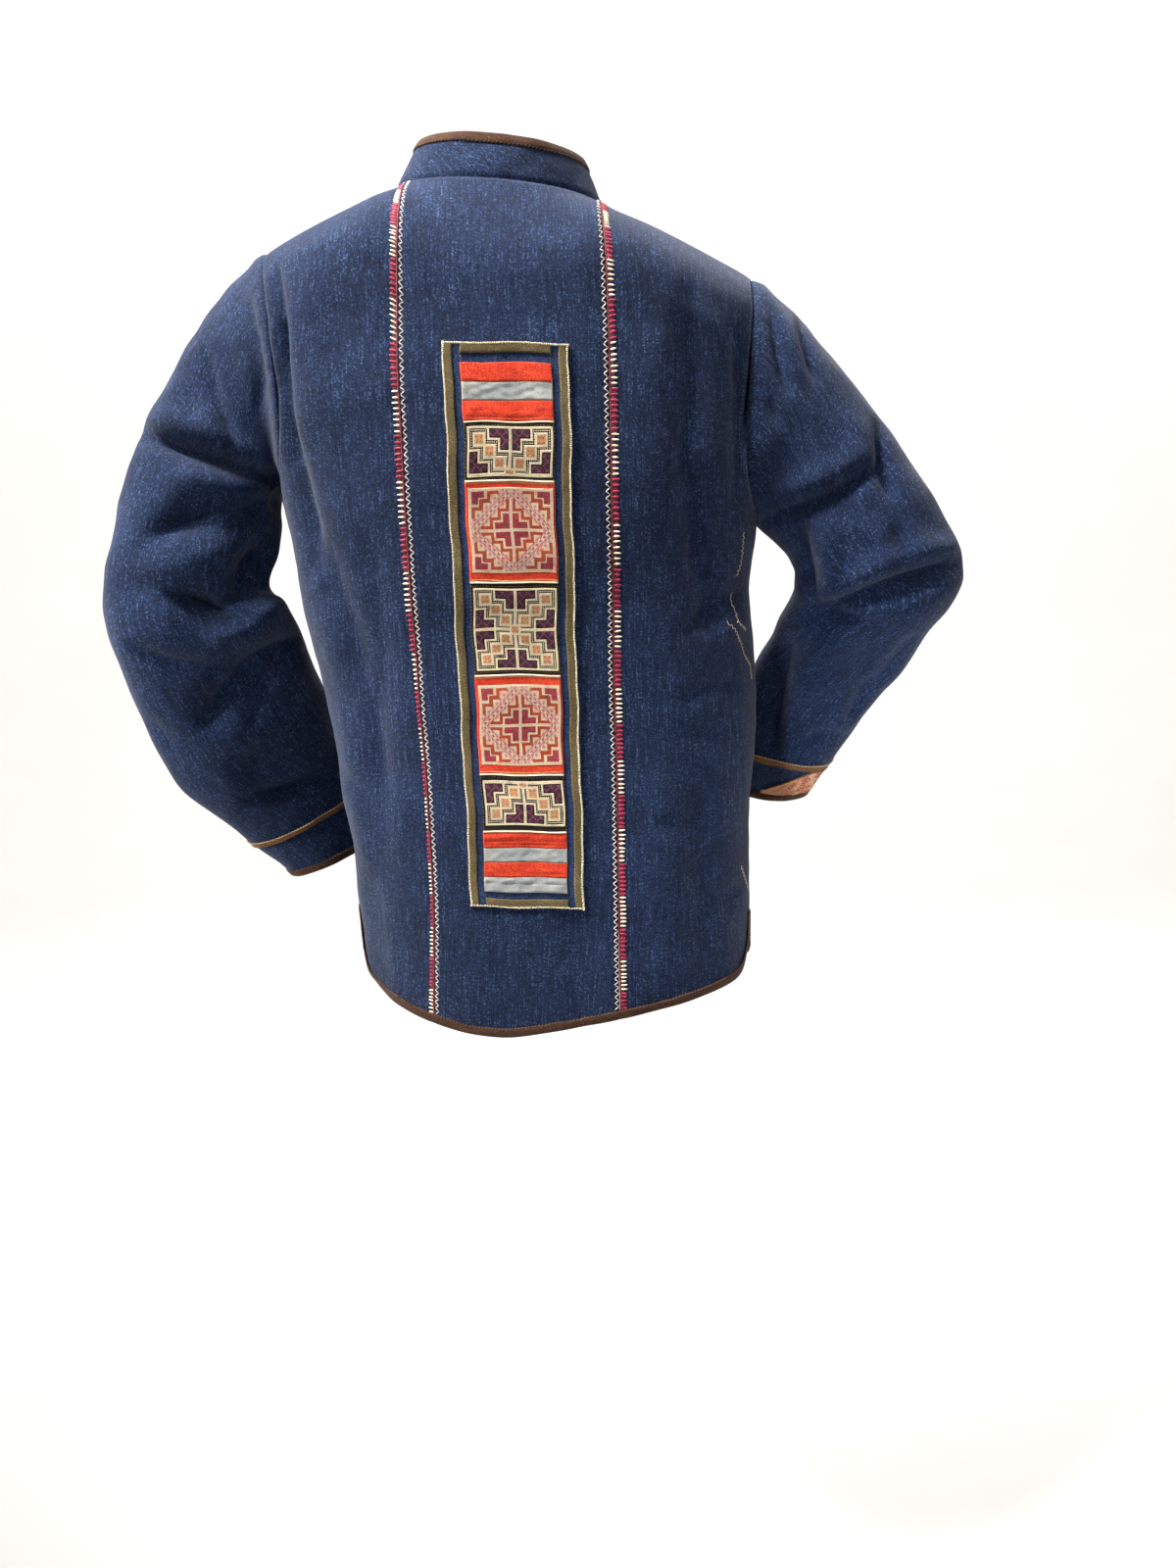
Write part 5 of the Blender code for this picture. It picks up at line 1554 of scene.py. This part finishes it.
def diamond_chart():
    """A quarter of the orange patch's motif: a cross inside a checked diamond ring."""
    chart, x, y = charted(DIAMOND)
    ring = (np.abs(x + y - 41) <= 8) & (np.minimum(x, y) >= 2) & (chart == "cream")
    ring &= ~((np.maximum(x, y) >= 39) & (np.minimum(x, y) >= 11))
    across, along = (x + y - 33) / 4, (x - y + 82) / 4
    checked = (across.astype(int) + along.astype(int)) % 2 == 0
    chart[ring & checked] = "pink"
    centre = (np.abs(across % 1 - 0.5) <= 0.2) & (np.abs(along % 1 - 0.5) <= 0.25)
    chart[ring & centre & (across >= 1) & (across < 4) & (along.astype(int) % 2 == 0)] = "rose"
    chart[(chart == "rust") & (x % 2 == 0) & (y % 2 == 0)] = "orange"
    chart[(chart == "rose") & ((x + y) % 4 == 0) & ((x - y) % 4 == 0)] = "orange"
    chart[(chart == "rose") & ((x + y) % 4 == 2) & ((x - y) % 4 == 2)] = "magenta"
    return chart


def whole(quarter, rows=2 * HALF + 1):
    """The full motif, mirrored both ways. With fewer rows, its frame closes the cut edge."""
    side = np.concatenate([np.arange(HALF + 1), np.arange(HALF - 1, -1, -1)])
    full = quarter[side[:, None], side[None]]
    if rows < len(full):
        full = full[:rows].copy()
        full[-2:] = "cream"
    return full


# %% [markdown]
# ## Cross stitches
# Each coloured square of the chart becomes two short bars of floss that cross, the second on top.
# A little chance in their places keeps the rows from looking printed.

# %% Sewing the charts
CROSS_WIDE, CROSS_HIGH = 0.0010, 0.0005  # one bar of a cross stitch
CROSS_LIFT = {1: OVER - 0.00010, -1: OVER + 0.00002}  # heights of the lower and the upper bar


def bars(chart, starts, ends, wide, high, lift):
    """(points, polygons) of very short stitches: a ridge in the middle and a point at each end."""
    # Five points and six small faces each, because there are many thousands of them.
    side = unit(ends - starts)[:, ::-1] * [1, -1] * wide / 2
    middle = (starts + ends) / 2
    flat = np.stack([starts, ends, middle - side, middle + side, middle], 1)
    up = np.array([0.35 * high, 0.35 * high, 0, 0, high]) + lift
    points = lay(chart, flat[..., 0], flat[..., 1], np.broadcast_to(up, flat.shape[:2]))
    faces = np.array([(0, 2, 4), (0, 4, 3), (0, 3, 2), (1, 4, 2), (1, 3, 4), (1, 2, 3)])
    faces = (np.arange(len(flat))[:, None, None] * 5 + faces).reshape(-1, 3)
    return points.reshape(-1, 3), [faces]


def cross_stitches(node, chart, left, top, width, height):
    """Sews a chart of thread names on the middle strip's chart, from its top left corner."""
    rows, columns = chart.shape
    step = np.array([width / columns, -height / rows])
    chance = np.random.default_rng(rows + int(1e4 * abs(top)))
    reach = 0.47 * step
    parts = []
    for kind in sorted(set(chart.ravel()) - {"none"}):
        y, x = np.nonzero(chart == kind)
        centre = np.array([left, top]) + (np.stack([x, y], -1) + 0.5) * step
        centre += chance.normal(0, 0.00004, centre.shape)
        for sign, lift in CROSS_LIFT.items():
            way = reach * [1, sign]
            parts.append((bars(MIDDLE, centre - way, centre + way, CROSS_WIDE, CROSS_HIGH, lift), kind))
    made = sewn(node + "_stitches", parts, node)
    print(node, len(made.data.polygons))


MOTIF = 0.0656  # width of every motif
LEFT = -MOTIF / 2 + 0.0004
star, diamond = stepped_chart(), diamond_chart()
for node, chart, top, height in (
    ("patch_black_top", whole(star, HALF + 2), -0.1891, 0.0372),
    ("patch_orange_top", whole(diamond), -0.2344, 0.0644),
    ("patch_black_middle", whole(star), -0.3111, 0.0652),
    ("patch_orange_bottom", whole(diamond), -0.3882, 0.0659),
    ("patch_black_bottom", whole(star, HALF + 2)[::-1], -0.4672, 0.0373),
):
    cross_stitches(node, chart, LEFT, top, MOTIF, height)

# %% [markdown]
# ## Piping and hand stitches on the panel
# Folded cream piping marks the patches' edges. Rows of small tan stitches hold the stripes, and a
# slanting whip stitch in cream goes over the panel's outer edge all the way round.

# %% Panel sewing


def line(start, end, step):
    """Points at about this step from one flat place to another, both ends included."""
    start, end = np.array(start, float), np.array(end, float)
    count = max(2, int(round(np.linalg.norm(end - start) / step)) + 1)
    return start + (end - start) * np.linspace(0, 1, count)[:, None]


def run_of(points, way, length, chance, scatter=0.00008):
    """Short straight stitches centred on points, all along one way."""
    points = points + chance.normal(0, scatter, points.shape)
    half = np.asarray(way, float) / np.linalg.norm(way) * length / 2
    half = half * chance.uniform(0.85, 1.15, (len(points), 1))
    share_of = np.linspace(-1, 1, 4)[None, :, None]
    return points[:, None] + half[:, None] * share_of


WHIP_PITCH = 0.0013  # from one whip stitch to the next
# z, thread, width, height
PIPING = (
    (-0.1857, "cream", 0.0011, 0.0007), (-0.2293, "cream", 0.0013, 0.0008),
    (-0.2308, "ochre", 0.0006, 0.0005), (-0.3049, "ochre", 0.0007, 0.0005),
    (-0.3066, "cream", 0.0013, 0.0008), (-0.3803, "cream", 0.0013, 0.0008),
    (-0.3820, "ochre", 0.0006, 0.0005), (-0.4602, "ochre", 0.0007, 0.0005),
    (-0.4623, "cream", 0.0013, 0.0008), (-0.5097, "cream", 0.0013, 0.0008),
)
# Heights of the rows of small stitches across the field, and distances of those up its sides.
HOLDING_ROWS = (-0.1427, -0.1562, -0.1700, -0.1835, -0.1880, -0.2278, -0.3095, -0.3778, -0.4645,
                -0.5085, -0.5110, -0.5237, -0.5358, -0.5487, -0.5612)
HOLDING_LINES = (-PANEL_HALF + OLIVE - 0.0008, PANEL_HALF - OLIVE + 0.0008, -FIELD + 0.0006,
                 FIELD - 0.0006)

chance = np.random.default_rng(8)
parts = []
for z, kind, wide, high in PIPING:
    path = line((-FIELD + 0.0004, z), (FIELD - 0.0004, z), 0.0015)
    path[:, 1] += 0.00018 * uneven(path, 0.03, int(-z * 1e4))
    parts.append((stitches(MIDDLE, path[None], wide, high, OVER - 0.0001), kind))
for z in HOLDING_ROWS:
    runs = run_of(line((-FIELD + 0.001, z), (FIELD - 0.001, z), 0.0023), (1, 0.15), 0.0012, chance)
    parts.append(worked(MIDDLE, runs, "holding row"))
for x in HOLDING_LINES:
    places = line((x, PANEL_TOP - 0.008), (x, PANEL_BOTTOM + 0.008), 0.0026)
    parts.append(worked(MIDDLE, run_of(places, (0.1, 1), 0.0013, chance), "holding line"))
panel_corners = ((-PANEL_HALF, PANEL_BOTTOM), (-PANEL_HALF, PANEL_TOP), (PANEL_HALF, PANEL_TOP),
                 (PANEL_HALF, PANEL_BOTTOM))
for k, inward in enumerate(((1, 0), (0, -1), (-1, 0), (0, 1))):
    points = line(panel_corners[k], panel_corners[(k + 1) % 4], WHIP_PITCH)
    inward = np.array(inward)
    along = unit(points[-1] - points[0])
    places = points + chance.normal(0, 0.00008, points.shape)
    tips = places + inward * chance.uniform(0.0012, 0.0017, (len(places), 1)) + along * 0.0007
    feet = places - inward * 0.00035
    parts.append(worked(MIDDLE, between(feet, tips, (0, 0.22, 0.6, 1.0)), "whip"))
panel_sewing = sewn("panel_hand_stitches", parts, "panel_ground")
print("panel sewing", len(panel_sewing.data.polygons))

# %% [markdown]
# ## The two worked seams
# The back's middle strip meets the side strips in two seams, and both are worked from hem to
# neck: an off-white zigzag on the inner side, a wine-red cord on the join, and satin bars outward
# in blocks of eight, by turns cream and crimson. Close rows of wine red lie under the bars.

# %% Worked seams


def zigzag(points, pitch, reach, chance):
    """Legs that cross a flat line from side to side, as an array of leg, station, across/along."""
    points = np.asarray(points, float)
    place = lengths(points)
    at = np.linspace(0, place[-1], max(2, int(place[-1] / pitch * 2)) + 1)
    line_at = np.stack([np.interp(at, place, points[:, k]) for k in (0, 1)], -1)
    way = unit(np.gradient(line_at, axis=0))[:, ::-1] * [1, -1]
    turns = np.where(np.arange(len(at)) % 2, 1, -1)[:, None]
    knots = line_at + way * turns * reach + chance.normal(0, pitch * 0.018, line_at.shape)
    return between(knots[:-1], knots[1:], np.linspace(0, 1, 4))


# Distances from the hem, and there: from bar to bar, and how far the bars reach on each side.
BAR_PITCH = ((0, 0.25, 0.42, 0.58, 0.66), (0.0034, 0.0037, 0.0044, 0.0040, 0.0026))
BAR_LENGTH = {
    "left": ((0, 0.04, 0.12, 0.27, 0.37, 0.66), (0.0056, 0.0052, 0.0036, 0.0036, 0.0062, 0.0066)),
    "right": ((0, 0.10, 0.40, 0.66), (0.0062, 0.0064, 0.0070, 0.0062)),
}
FIRST_BAR = {"left": 1, "right": 11}
BLOCK = 8  # bars of one colour
ZIGZAG_AT, ZIGZAG_PITCH, ZIGZAG_REACH = 0.0021, 0.0055, 0.0018
CORD_PITCH, CORD_LENGTH = 0.0017, 0.0036
WINE_PITCH = 0.0014  # from row to row, under the bars

for side in SIDES:
    chance = np.random.default_rng(3 if side == "left" else 4)
    column = 0 if side == "left" else middle.shape[1] - 1
    seam = lengths(middle[:, column])
    inner = chart_of(middle, normals["back_middle"], column, seam)
    strip = grids[f"back_{side}"]
    outer = chart_of(strip, normals[f"back_{side}"], 0, seam)
    way = 1 if side == "left" else -1
    out_way = 1 if outer["across"][5, 3] > 0 else -1
    first, last = BIND + 0.001, seam[-1] - 0.002
    line_at = [(ZIGZAG_AT * way, first), (ZIGZAG_AT * way, last)]
    legs = zigzag(line_at, ZIGZAG_PITCH, ZIGZAG_REACH, chance)
    parts = [worked(inner, legs, "seam zigzag")]
    places = np.arange(first, last, CORD_PITCH)
    cord = np.stack([np.full(len(places), 0.0005 * out_way), places], -1)
    cord = run_of(cord, (0.6 * out_way, 1), CORD_LENGTH, chance, 0.00006)
    parts.append(worked(outer, cord, "cord"))
    places = [first + 0.001]
    while places[-1] < last:
        places.append(places[-1] + np.interp(places[-1], *BAR_PITCH))
    places = np.array(places[:-1])
    number = np.arange(len(places)) + FIRST_BAR[side]
    kinds = np.where(number // BLOCK % 2 == 0, "cream", "crimson")
    length = np.interp(places, *BAR_LENGTH[side])
    for kind in ("cream", "crimson"):
        picked = places[kinds == kind] + chance.normal(0, 0.0002, (kinds == kind).sum())
        reach = length[kinds == kind] * chance.uniform(0.90, 1.08, len(picked))
        t = np.linspace(0, 1, 6)
        across = 0.0012 * (1 - t) + reach[:, None] * t
        lean = chance.normal(0, 0.0003, (len(picked), 1)) * t
        paths = np.stack([across * out_way, picked[:, None] + lean], -1)
        parts.append(worked(outer, paths, kind))
    # Close rows of wine red lie under the bars and fill the space between them.
    close = np.arange(first, places[-1] + 0.001, WINE_PITCH)
    full = kinds[np.clip(np.searchsorted(places, close), 0, len(places) - 1)] == "crimson"
    ends = np.interp(close, *BAR_LENGTH[side]) * np.where(full, 0.86, 0.62)
    ends *= chance.uniform(0.9, 1.05, len(close))
    t = np.linspace(0, 1, 4)
    across = 0.0010 * (1 - t) + ends[:, None] * t
    paths = np.stack([across * out_way, np.repeat(close[:, None], 4, 1)], -1)
    parts.append(worked(outer, paths, "wine row"))
    made = sewn(f"worked_seam_{side}", parts, f"back_{side}")
    print(side, "worked seam", len(made.data.polygons))

# %% [markdown]
# ## The cuffs
# A tan strip covers the seam between sleeve and cuff, and a close gold zigzag is worked along its
# upper edge. Distances round a cuff are kept as shares of the ring at that height, so that a
# line round it ends where it began.

# %% Strips over the cuff seams
CUFF_LINE = 0.0068  # width of the strip
# Shares of the strip's width, and how far it stands off the cloth there.
LINE_AT = np.array([0, 0.06, 0.16, 0.4, 0.62, 0.80, 0.84, 0.90, 0.96, 1])
LINE_SWELL = np.array([0.0002, 0.0009, 0.0011, 0.0012, 0.0012, 0.0009, 0.0010, 0.0014, 0.0013, 0.0004])


def tube_chart(side):
    """The sleeve's chart with its first column again at the end, and the length of each ring."""
    sleeve = sleeves[side]
    chart = chart_of(looped(sleeve["grid"]), looped(sleeve["normal"]), 0, sleeve["at"])
    return chart, np.abs(chart["across"][:, -1])


def round_tube(chart, rings, paths):
    """Flat places from shares of the ring, 0 to 1, and distances along the sleeve."""
    paths = np.array(paths, float)
    full = np.interp(paths[..., 1], chart["along"], rings)
    sign = np.sign(chart["across"][0, -1])
    paths[..., 0] *= full * sign
    return paths


def sewn_round(side, along, pitch, reach, chance):
    """Zigzag legs right round a sleeve, at a distance along it."""
    chart, rings = tube_chart(side)
    full = float(np.interp(along, chart["along"], rings))
    legs = zigzag([(0, along), (full, along)], pitch, reach, chance)
    legs[..., 0] = np.clip(legs[..., 0] / full, 0, 1)
    return chart, round_tube(chart, rings, legs)


cuff_sewing = {}
for side in SIDES:
    sleeve = sleeves[side]
    chart, rings = tube_chart(side)
    start = sleeve["at"][sleeve["seam"]]
    columns = sleeve["grid"].shape[1]
    share_at, down_at = np.meshgrid(np.arange(columns) / columns, start - 0.0006 + CUFF_LINE * LINE_AT)
    places = round_tube(chart, rings, np.stack([share_at, down_at], -1))
    outer = lay(chart, places[..., 0], places[..., 1], (LINE_SWELL + GAP)[:, None] + 0 * share_at)
    inner = lay(chart, places[..., 0], places[..., 1], np.full(share_at.shape, GAP * 0.5))
    cloth(f"cuff_line_{side}", outer, inner, CLOTH["tan"], "laid", [f"cuff_{side}"], closed=True)
    chance = np.random.default_rng(40 + len(side))
    chart, legs = sewn_round(side, start - 0.0008, 0.0030, 0.0013, chance)
    parts = [worked(chart, legs, "cuff zigzag")]
    chart, legs = sewn_round(side, start + CUFF_LINE - 0.0016, 0.0052, 0.0002, chance)
    parts.append(worked(chart, legs, "cuff edge"))
    cuff_sewing[side] = parts
    print(side, "cuff strip", outer.shape[:2], "legs", len(legs))

# %% [markdown]
# ## The cuff patches
# The turned-back part of each cuff carries a patch of needlework in peach, pink and rust. Its
# hooked lines are one small spiral, set side by side and turned by turns.

# %% Patches
HOOK = ((0, 5), (0, 0), (5, 0), (5, 4), (2, 4), (2, 2), (3.4, 2))  # one spiral, in steps
HOOK_STEP = 0.00115
CELL = 6.4 * HOOK_STEP  # from one spiral to the next
# Degrees round the cuff, from the outer side: where the patch starts, where its end begins to
# slant, how far the slant takes, and where the patch stops.
PATCH_FROM, SLANT_OVER = -100, 42
SLANT_FROM = {"left": -56, "right": 38}
PATCH_TO = {"left": -16, "right": 80}


def patch_grid(side):
    """Columns round the cuff, each from under the strip, or from the slant, down to the binding."""
    sleeve = sleeves[side]
    ways = np.degrees((sleeve["turn"] + np.pi) % (2 * np.pi) - np.pi)
    order = [k for k in np.argsort(ways) if PATCH_FROM < ways[k] < PATCH_TO[side]]
    grid, normal = sleeve["grid"][sleeve["seam"] :, order], sleeve["normal"][sleeve["seam"] :, order]
    place = lengths(grid)
    slant = np.clip((ways[order] - SLANT_FROM[side]) / SLANT_OVER, 0, 0.93)
    end = place[-1] - BIND - 0.0008
    start = CUFF_LINE + 0.0012 + slant * (end - CUFF_LINE - 0.0030)
    share_at = np.concatenate([[0, 0.02, 0.05], np.linspace(0.10, 0.90, 9), [0.95, 0.98, 1]])
    points, out = [], []
    for k in range(len(order)):
        at = start[k] + (end[k] - start[k]) * share_at
        points.append([[np.interp(d, place[:, k], grid[:, k, a]) for a in range(3)] for d in at])
        out.append([[np.interp(d, place[:, k], normal[:, k, a]) for a in range(3)] for d in at])
    return np.array(points).swapaxes(0, 1), unit(np.array(out).swapaxes(0, 1)), start, end


for side in SIDES:
    base, out, start, end = patch_grid(side)
    lift = np.full(base.shape[:2], UNDER + 0.0003)
    lift[[0, -1]] -= 0.0006
    lift[:, [0, -1]] -= 0.0006
    lift += 0.00015 * uneven(base, 0.008, 71)
    cloth(f"cuff_patch_{side}", base + out * lift[..., None], base + out * GAP, CLOTH["peach"], "laid",
          [f"cuff_{side}"])
    # A chart that is level with the strip, so that the hooks stand upright along the slant.
    depth = end - start
    deep = depth.max()
    chart = chart_of(base, out, 0, np.linspace(0, deep, base.shape[0]))
    across = chart["across"]
    sign, wide = np.sign(across[0, -1]), abs(across[-1, -1])
    chance = np.random.default_rng(60 + len(side))
    parts = cuff_sewing[side]
    for row in range(int(deep / CELL) + 1):
        for column in range(int(wide / CELL)):
            hook = np.array(HOOK, float)
            if (row + column) % 2:
                hook = 5 - hook
            if column % 2:
                hook = hook[:, ::-1]
            corner = np.array([column * CELL + 0.0016, deep - (row + 1) * CELL - 0.0004])
            knots = corner + (hook + 0.4) * HOOK_STEP + chance.normal(0, 0.00006, hook.shape)
            local = np.interp(knots[:, 0] / wide, np.linspace(0, 1, len(depth)), depth)
            if knots[:, 1].min() < deep - local.min() + 0.0008 or knots[:, 0].max() > wide:
                continue
            # The grid's rows close up along the slant, so a height is turned into a share of them.
            share_of = 1 - (deep - knots[:, 1]) / local
            flat_at = np.stack([knots[:, 0] * sign, share_of * deep], -1)
            legs = between(flat_at[:-1], flat_at[1:], np.linspace(0, 1, 4))
            kind = ("russet", "gold", "russet")[(row * 2 + column) % 3]
            parts.append(worked(chart, legs, "hook", kind))
    # Two cords follow the slanting end and the top: gold, and outside it brown.
    for name, back in (("inner cord", 0.0012), ("outer cord", -0.0002)):
        edge = np.stack([across[0], np.full(len(start), back)], -1)
        parts.append(worked(chart, edge[None, 1:-1], name))
    made = sewn(f"cuff_sewing_{side}", parts, f"cuff_{side}")
    print(side, "cuff", len(made.data.polygons))

# %% [markdown]
# ## Plain sewing
# Small slanting stitches hold the bindings, a topstitch runs beside each armhole, and four short
# lines of gold zigzag mend the right side of the back.

# %% Plain sewing
EDGE_BAND = 0.016  # width of the cloth beside an edge that is charted
HOLD_PITCH, ARMHOLE_PITCH = 0.0030, 0.0034  # from stitch to stitch
ARMHOLE_AT = 0.0026  # from the armhole's edge to its topstitch
ARMHOLE_THREAD = {"left": "dark", "right": "blue"}
# x and z of each mended line's points
MENDED = (
    ((0.198, -0.269), (0.197, -0.285), (0.195, -0.297), (0.193, -0.306)),
    ((0.189, -0.318), (0.192, -0.331), (0.195, -0.340), (0.203, -0.348)),
    ((0.183, -0.340), (0.191, -0.350), (0.199, -0.360), (0.202, -0.369), (0.208, -0.381), (0.210, -0.392)),
    ((0.204, -0.557), (0.212, -0.584)),
)


def edge_chart(path, out, into, lift):
    """A narrow chart along an edge: across is the distance into the cloth."""
    steps = np.linspace(0, EDGE_BAND, 9)
    grid = path[:, None] + into[:, None] * steps[:, None]
    normal = np.repeat(out[:, None], len(steps), 1)
    return chart_of(grid + normal * lift, normal, 0, lengths(path))


def held_down(path, out, into, chance):
    """Slanting stitches over the inner edge of a binding."""
    chart = edge_chart(path, out, into, 0.0)
    sign = np.sign(chart["across"][0, -1])
    at = np.arange(0.002, chart["along"][-1] - 0.002, HOLD_PITCH)
    places = np.stack([np.full(len(at), BIND * sign), at], -1)
    paths = run_of(places, (sign, 0.8), 0.0019, chance)
    if (paths[0, -1, 0] - paths[0, 0, 0]) * sign < 0:
        paths = paths[:, ::-1]
    return worked(chart, paths, "binding")


chance = np.random.default_rng(77)
parts = [held_down(hem_path, hem_out, hem_into, chance)]
collar_parts = [held_down(*collar_edge, chance)]
for side in SIDES:
    sleeve = sleeves[side]
    held = held_down(sleeve["grid"][-1], sleeve["normal"][-1], sleeve["into"], chance)
    sewn(f"cuff_binding_stitches_{side}", [held], f"cuff_binding_{side}")
    held = held_down(*edge_paths[side], chance)
    sewn(f"edge_stitches_{side}", [held], f"edge_binding_{side}")
    for face in ("back", "front"):
        name = f"{face}_{side}"
        grid = grids[name]
        chart = chart_of(grid, normals[name], grid.shape[1] - 1, lengths(grid[:, -1]))
        low = float(chart["along"][len(grids[f"side_{side}"]) - 1])
        inward = np.sign(chart["across"][0, 0])
        at = np.arange(low + 0.004, chart["along"][-1] - 0.003, ARMHOLE_PITCH)
        places = np.stack([np.full(len(at), ARMHOLE_AT * inward), at], -1)
        runs = run_of(places, (0.05, 1), 0.0024, chance)
        sewn(f"armhole_stitches_{name}", [worked(chart, runs, "armhole", ARMHOLE_THREAD[side])], name)
sewn("hem_stitches", parts, "hem_binding_back")
sewn("collar_stitches", collar_parts, "collar_binding")
grid = grids["back_right"]
chart = chart_of(grid, normals["back_right"], 0, lengths(grid[:, 0]))
parts = []
for points in MENDED:
    flat_line = np.array([near_place(chart, x, z) for x, z in points])
    parts.append(worked(chart, zigzag(flat_line, 0.0040, 0.0014, chance), "mending"))
made = sewn("mending_zigzag", parts, "back_right")
print("mending", len(made.data.polygons), "faces")

# %% [markdown]
# ## Floor
# A plain pale floor of painted plaster turns up into a wall all round, far from the jacket.

# %% Floor
FLOOR_LOW, WALL_AT, BEND = -1.45, 4.5, 1.5
# Distance from the middle and height of each ring of the floor and wall.
profile = [(0.5, FLOOR_LOW), (1.5, FLOOR_LOW), (WALL_AT - BEND, FLOOR_LOW)]
for turn in np.radians(np.linspace(6, 84, 14)):
    profile.append((WALL_AT - BEND + BEND * math.sin(turn), FLOOR_LOW + BEND * (1 - math.cos(turn))))
profile += [(WALL_AT, FLOOR_LOW + BEND), (WALL_AT, FLOOR_LOW + 6.0)]
turns = np.radians(np.linspace(0, 360, 97)[:-1])
sheet_points = np.array([[(r * math.cos(t), r * math.sin(t), z) for t in turns] for r, z in profile])
number = looped(np.arange(sheet_points[..., 0].size).reshape(sheet_points.shape[:2]))
made, tree = new_material("painted plaster")
speckle = add(tree, "TexNoise", None, Vector=add(tree, "TexCoord").outputs["Object"], Scale=3.0)
tone = add(tree, "ValToRGB", None, Fac=speckle.outputs[0])
tone.color_ramp.elements[0].color = linear("#D8D6D3")
tone.color_ramp.elements[1].color = linear("#DFDDDA")
finish_material(tree, Base_Color=tone.outputs[0], Roughness=0.9)
floor_mesh = bpy.data.meshes.new("studio_floor")
middle_of_floor = number[0, :0:-1].tolist()
faces = quads_of(number).tolist() + [middle_of_floor]
floor_mesh.from_pydata(sheet_points.reshape(-1, 3).tolist(), [], faces)
floor_mesh.materials.append(made)
floor_mesh.shade_smooth()
floor = bpy.data.objects.new("studio_floor", floor_mesh)
bpy.context.scene.collection.objects.link(floor)
print("floor", len(floor_mesh.polygons))

# %% [markdown]
# ## Lights
# The key light stands high on the left and a little behind the camera's side of the jacket, so it
# rakes over the back and models its folds. Two narrow weak lights reach the left sleeve and the
# right forearm. A wide one lies over the shoulders, two light the wall, and the world lifts the
# shadows a little.

# %% Lights


def area_light(name, place, aim, size, power, colour, spread):
    """A square lamp that faces its aim. spread, in degrees, narrows its beam."""
    lamp = bpy.data.lights.new(name, "AREA")
    lamp.size, lamp.energy, lamp.color = size, power, linear(colour)[:3]
    lamp.spread = math.radians(spread)
    lit = bpy.data.objects.new(name, lamp)
    lit.location = place
    away = np.subtract(place, aim)
    lit.rotation_euler = (math.atan2(math.hypot(away[0], away[1]), away[2]), 0,
                          math.atan2(away[0], -away[1]))
    bpy.context.scene.collection.objects.link(lit)


# name, place, aim, size, watts, colour, spread
LAMPS = (
    ("key", (-1.6, -0.8, 2.3), (-0.08, 0.0, 0.14), 0.7, 15.6, "#FFF9F2", 35),
    ("low", (-1.7, -1.0, 0.15), (-0.36, 0.0, -0.42), 0.3, 0.55, "#FFFFFF", 15),
    ("fill", (-0.5, -1.6, -1.0), (0.37, 0.0, -0.47), 0.2, 0.25, "#EEF3FF", 15),
    ("top", (0.3, 0.5, 2.3), (0.0, 0.0, -0.2), 1.2, 4.2, "#FFFFFF", 70),
    ("backdrop", (0.0, 1.4, 1.7), (0.0, 3.6, -0.3), 4.0, 195.0, "#FFFFFF", 180),
    ("far_backdrop", (0.0, -1.6, 2.6), (0.0, -4.2, 0.2), 4.0, 45.0, "#FFFFFF", 180),
)
for lamp_row in LAMPS:
    area_light(*lamp_row)
world = bpy.data.worlds.new("studio")
world.use_nodes = True
sky = world.node_tree.nodes["Background"]
sky.inputs["Color"].default_value = linear("#F2F4F8")
sky.inputs["Strength"].default_value = 0.16
bpy.context.scene.world = world
bpy.context.scene.view_settings.view_transform = "Standard"
print("lamps", len(LAMPS))

# %% [markdown]
# ## The cloth's facts
# Each cloth piece has its cut size, measured on its own grid, and what it rests on. A strip under
# a centimetre wide goes with the cloth that it is sewn to.

# %% Sheets
NARROW = 0.0101
GOING_WITH = {
    "back_middle": ["hem_binding_back"], "collar": ["collar_binding"],
    "front_left": ["edge_binding_left"], "front_right": ["edge_binding_right"],
    "cuff_left": ["cuff_binding_left"], "cuff_right": ["cuff_binding_right"],
    "panel_ground": [node for node in pieces if node.startswith("border_")],
}
for node, flat, area, held, rests_on in sheets:
    if min(flat) < NARROW:
        continue
    others = [rests for rests in rests_on if rests in pieces]
    with_it = [pieces[other] for other in GOING_WITH.get(node, [])]
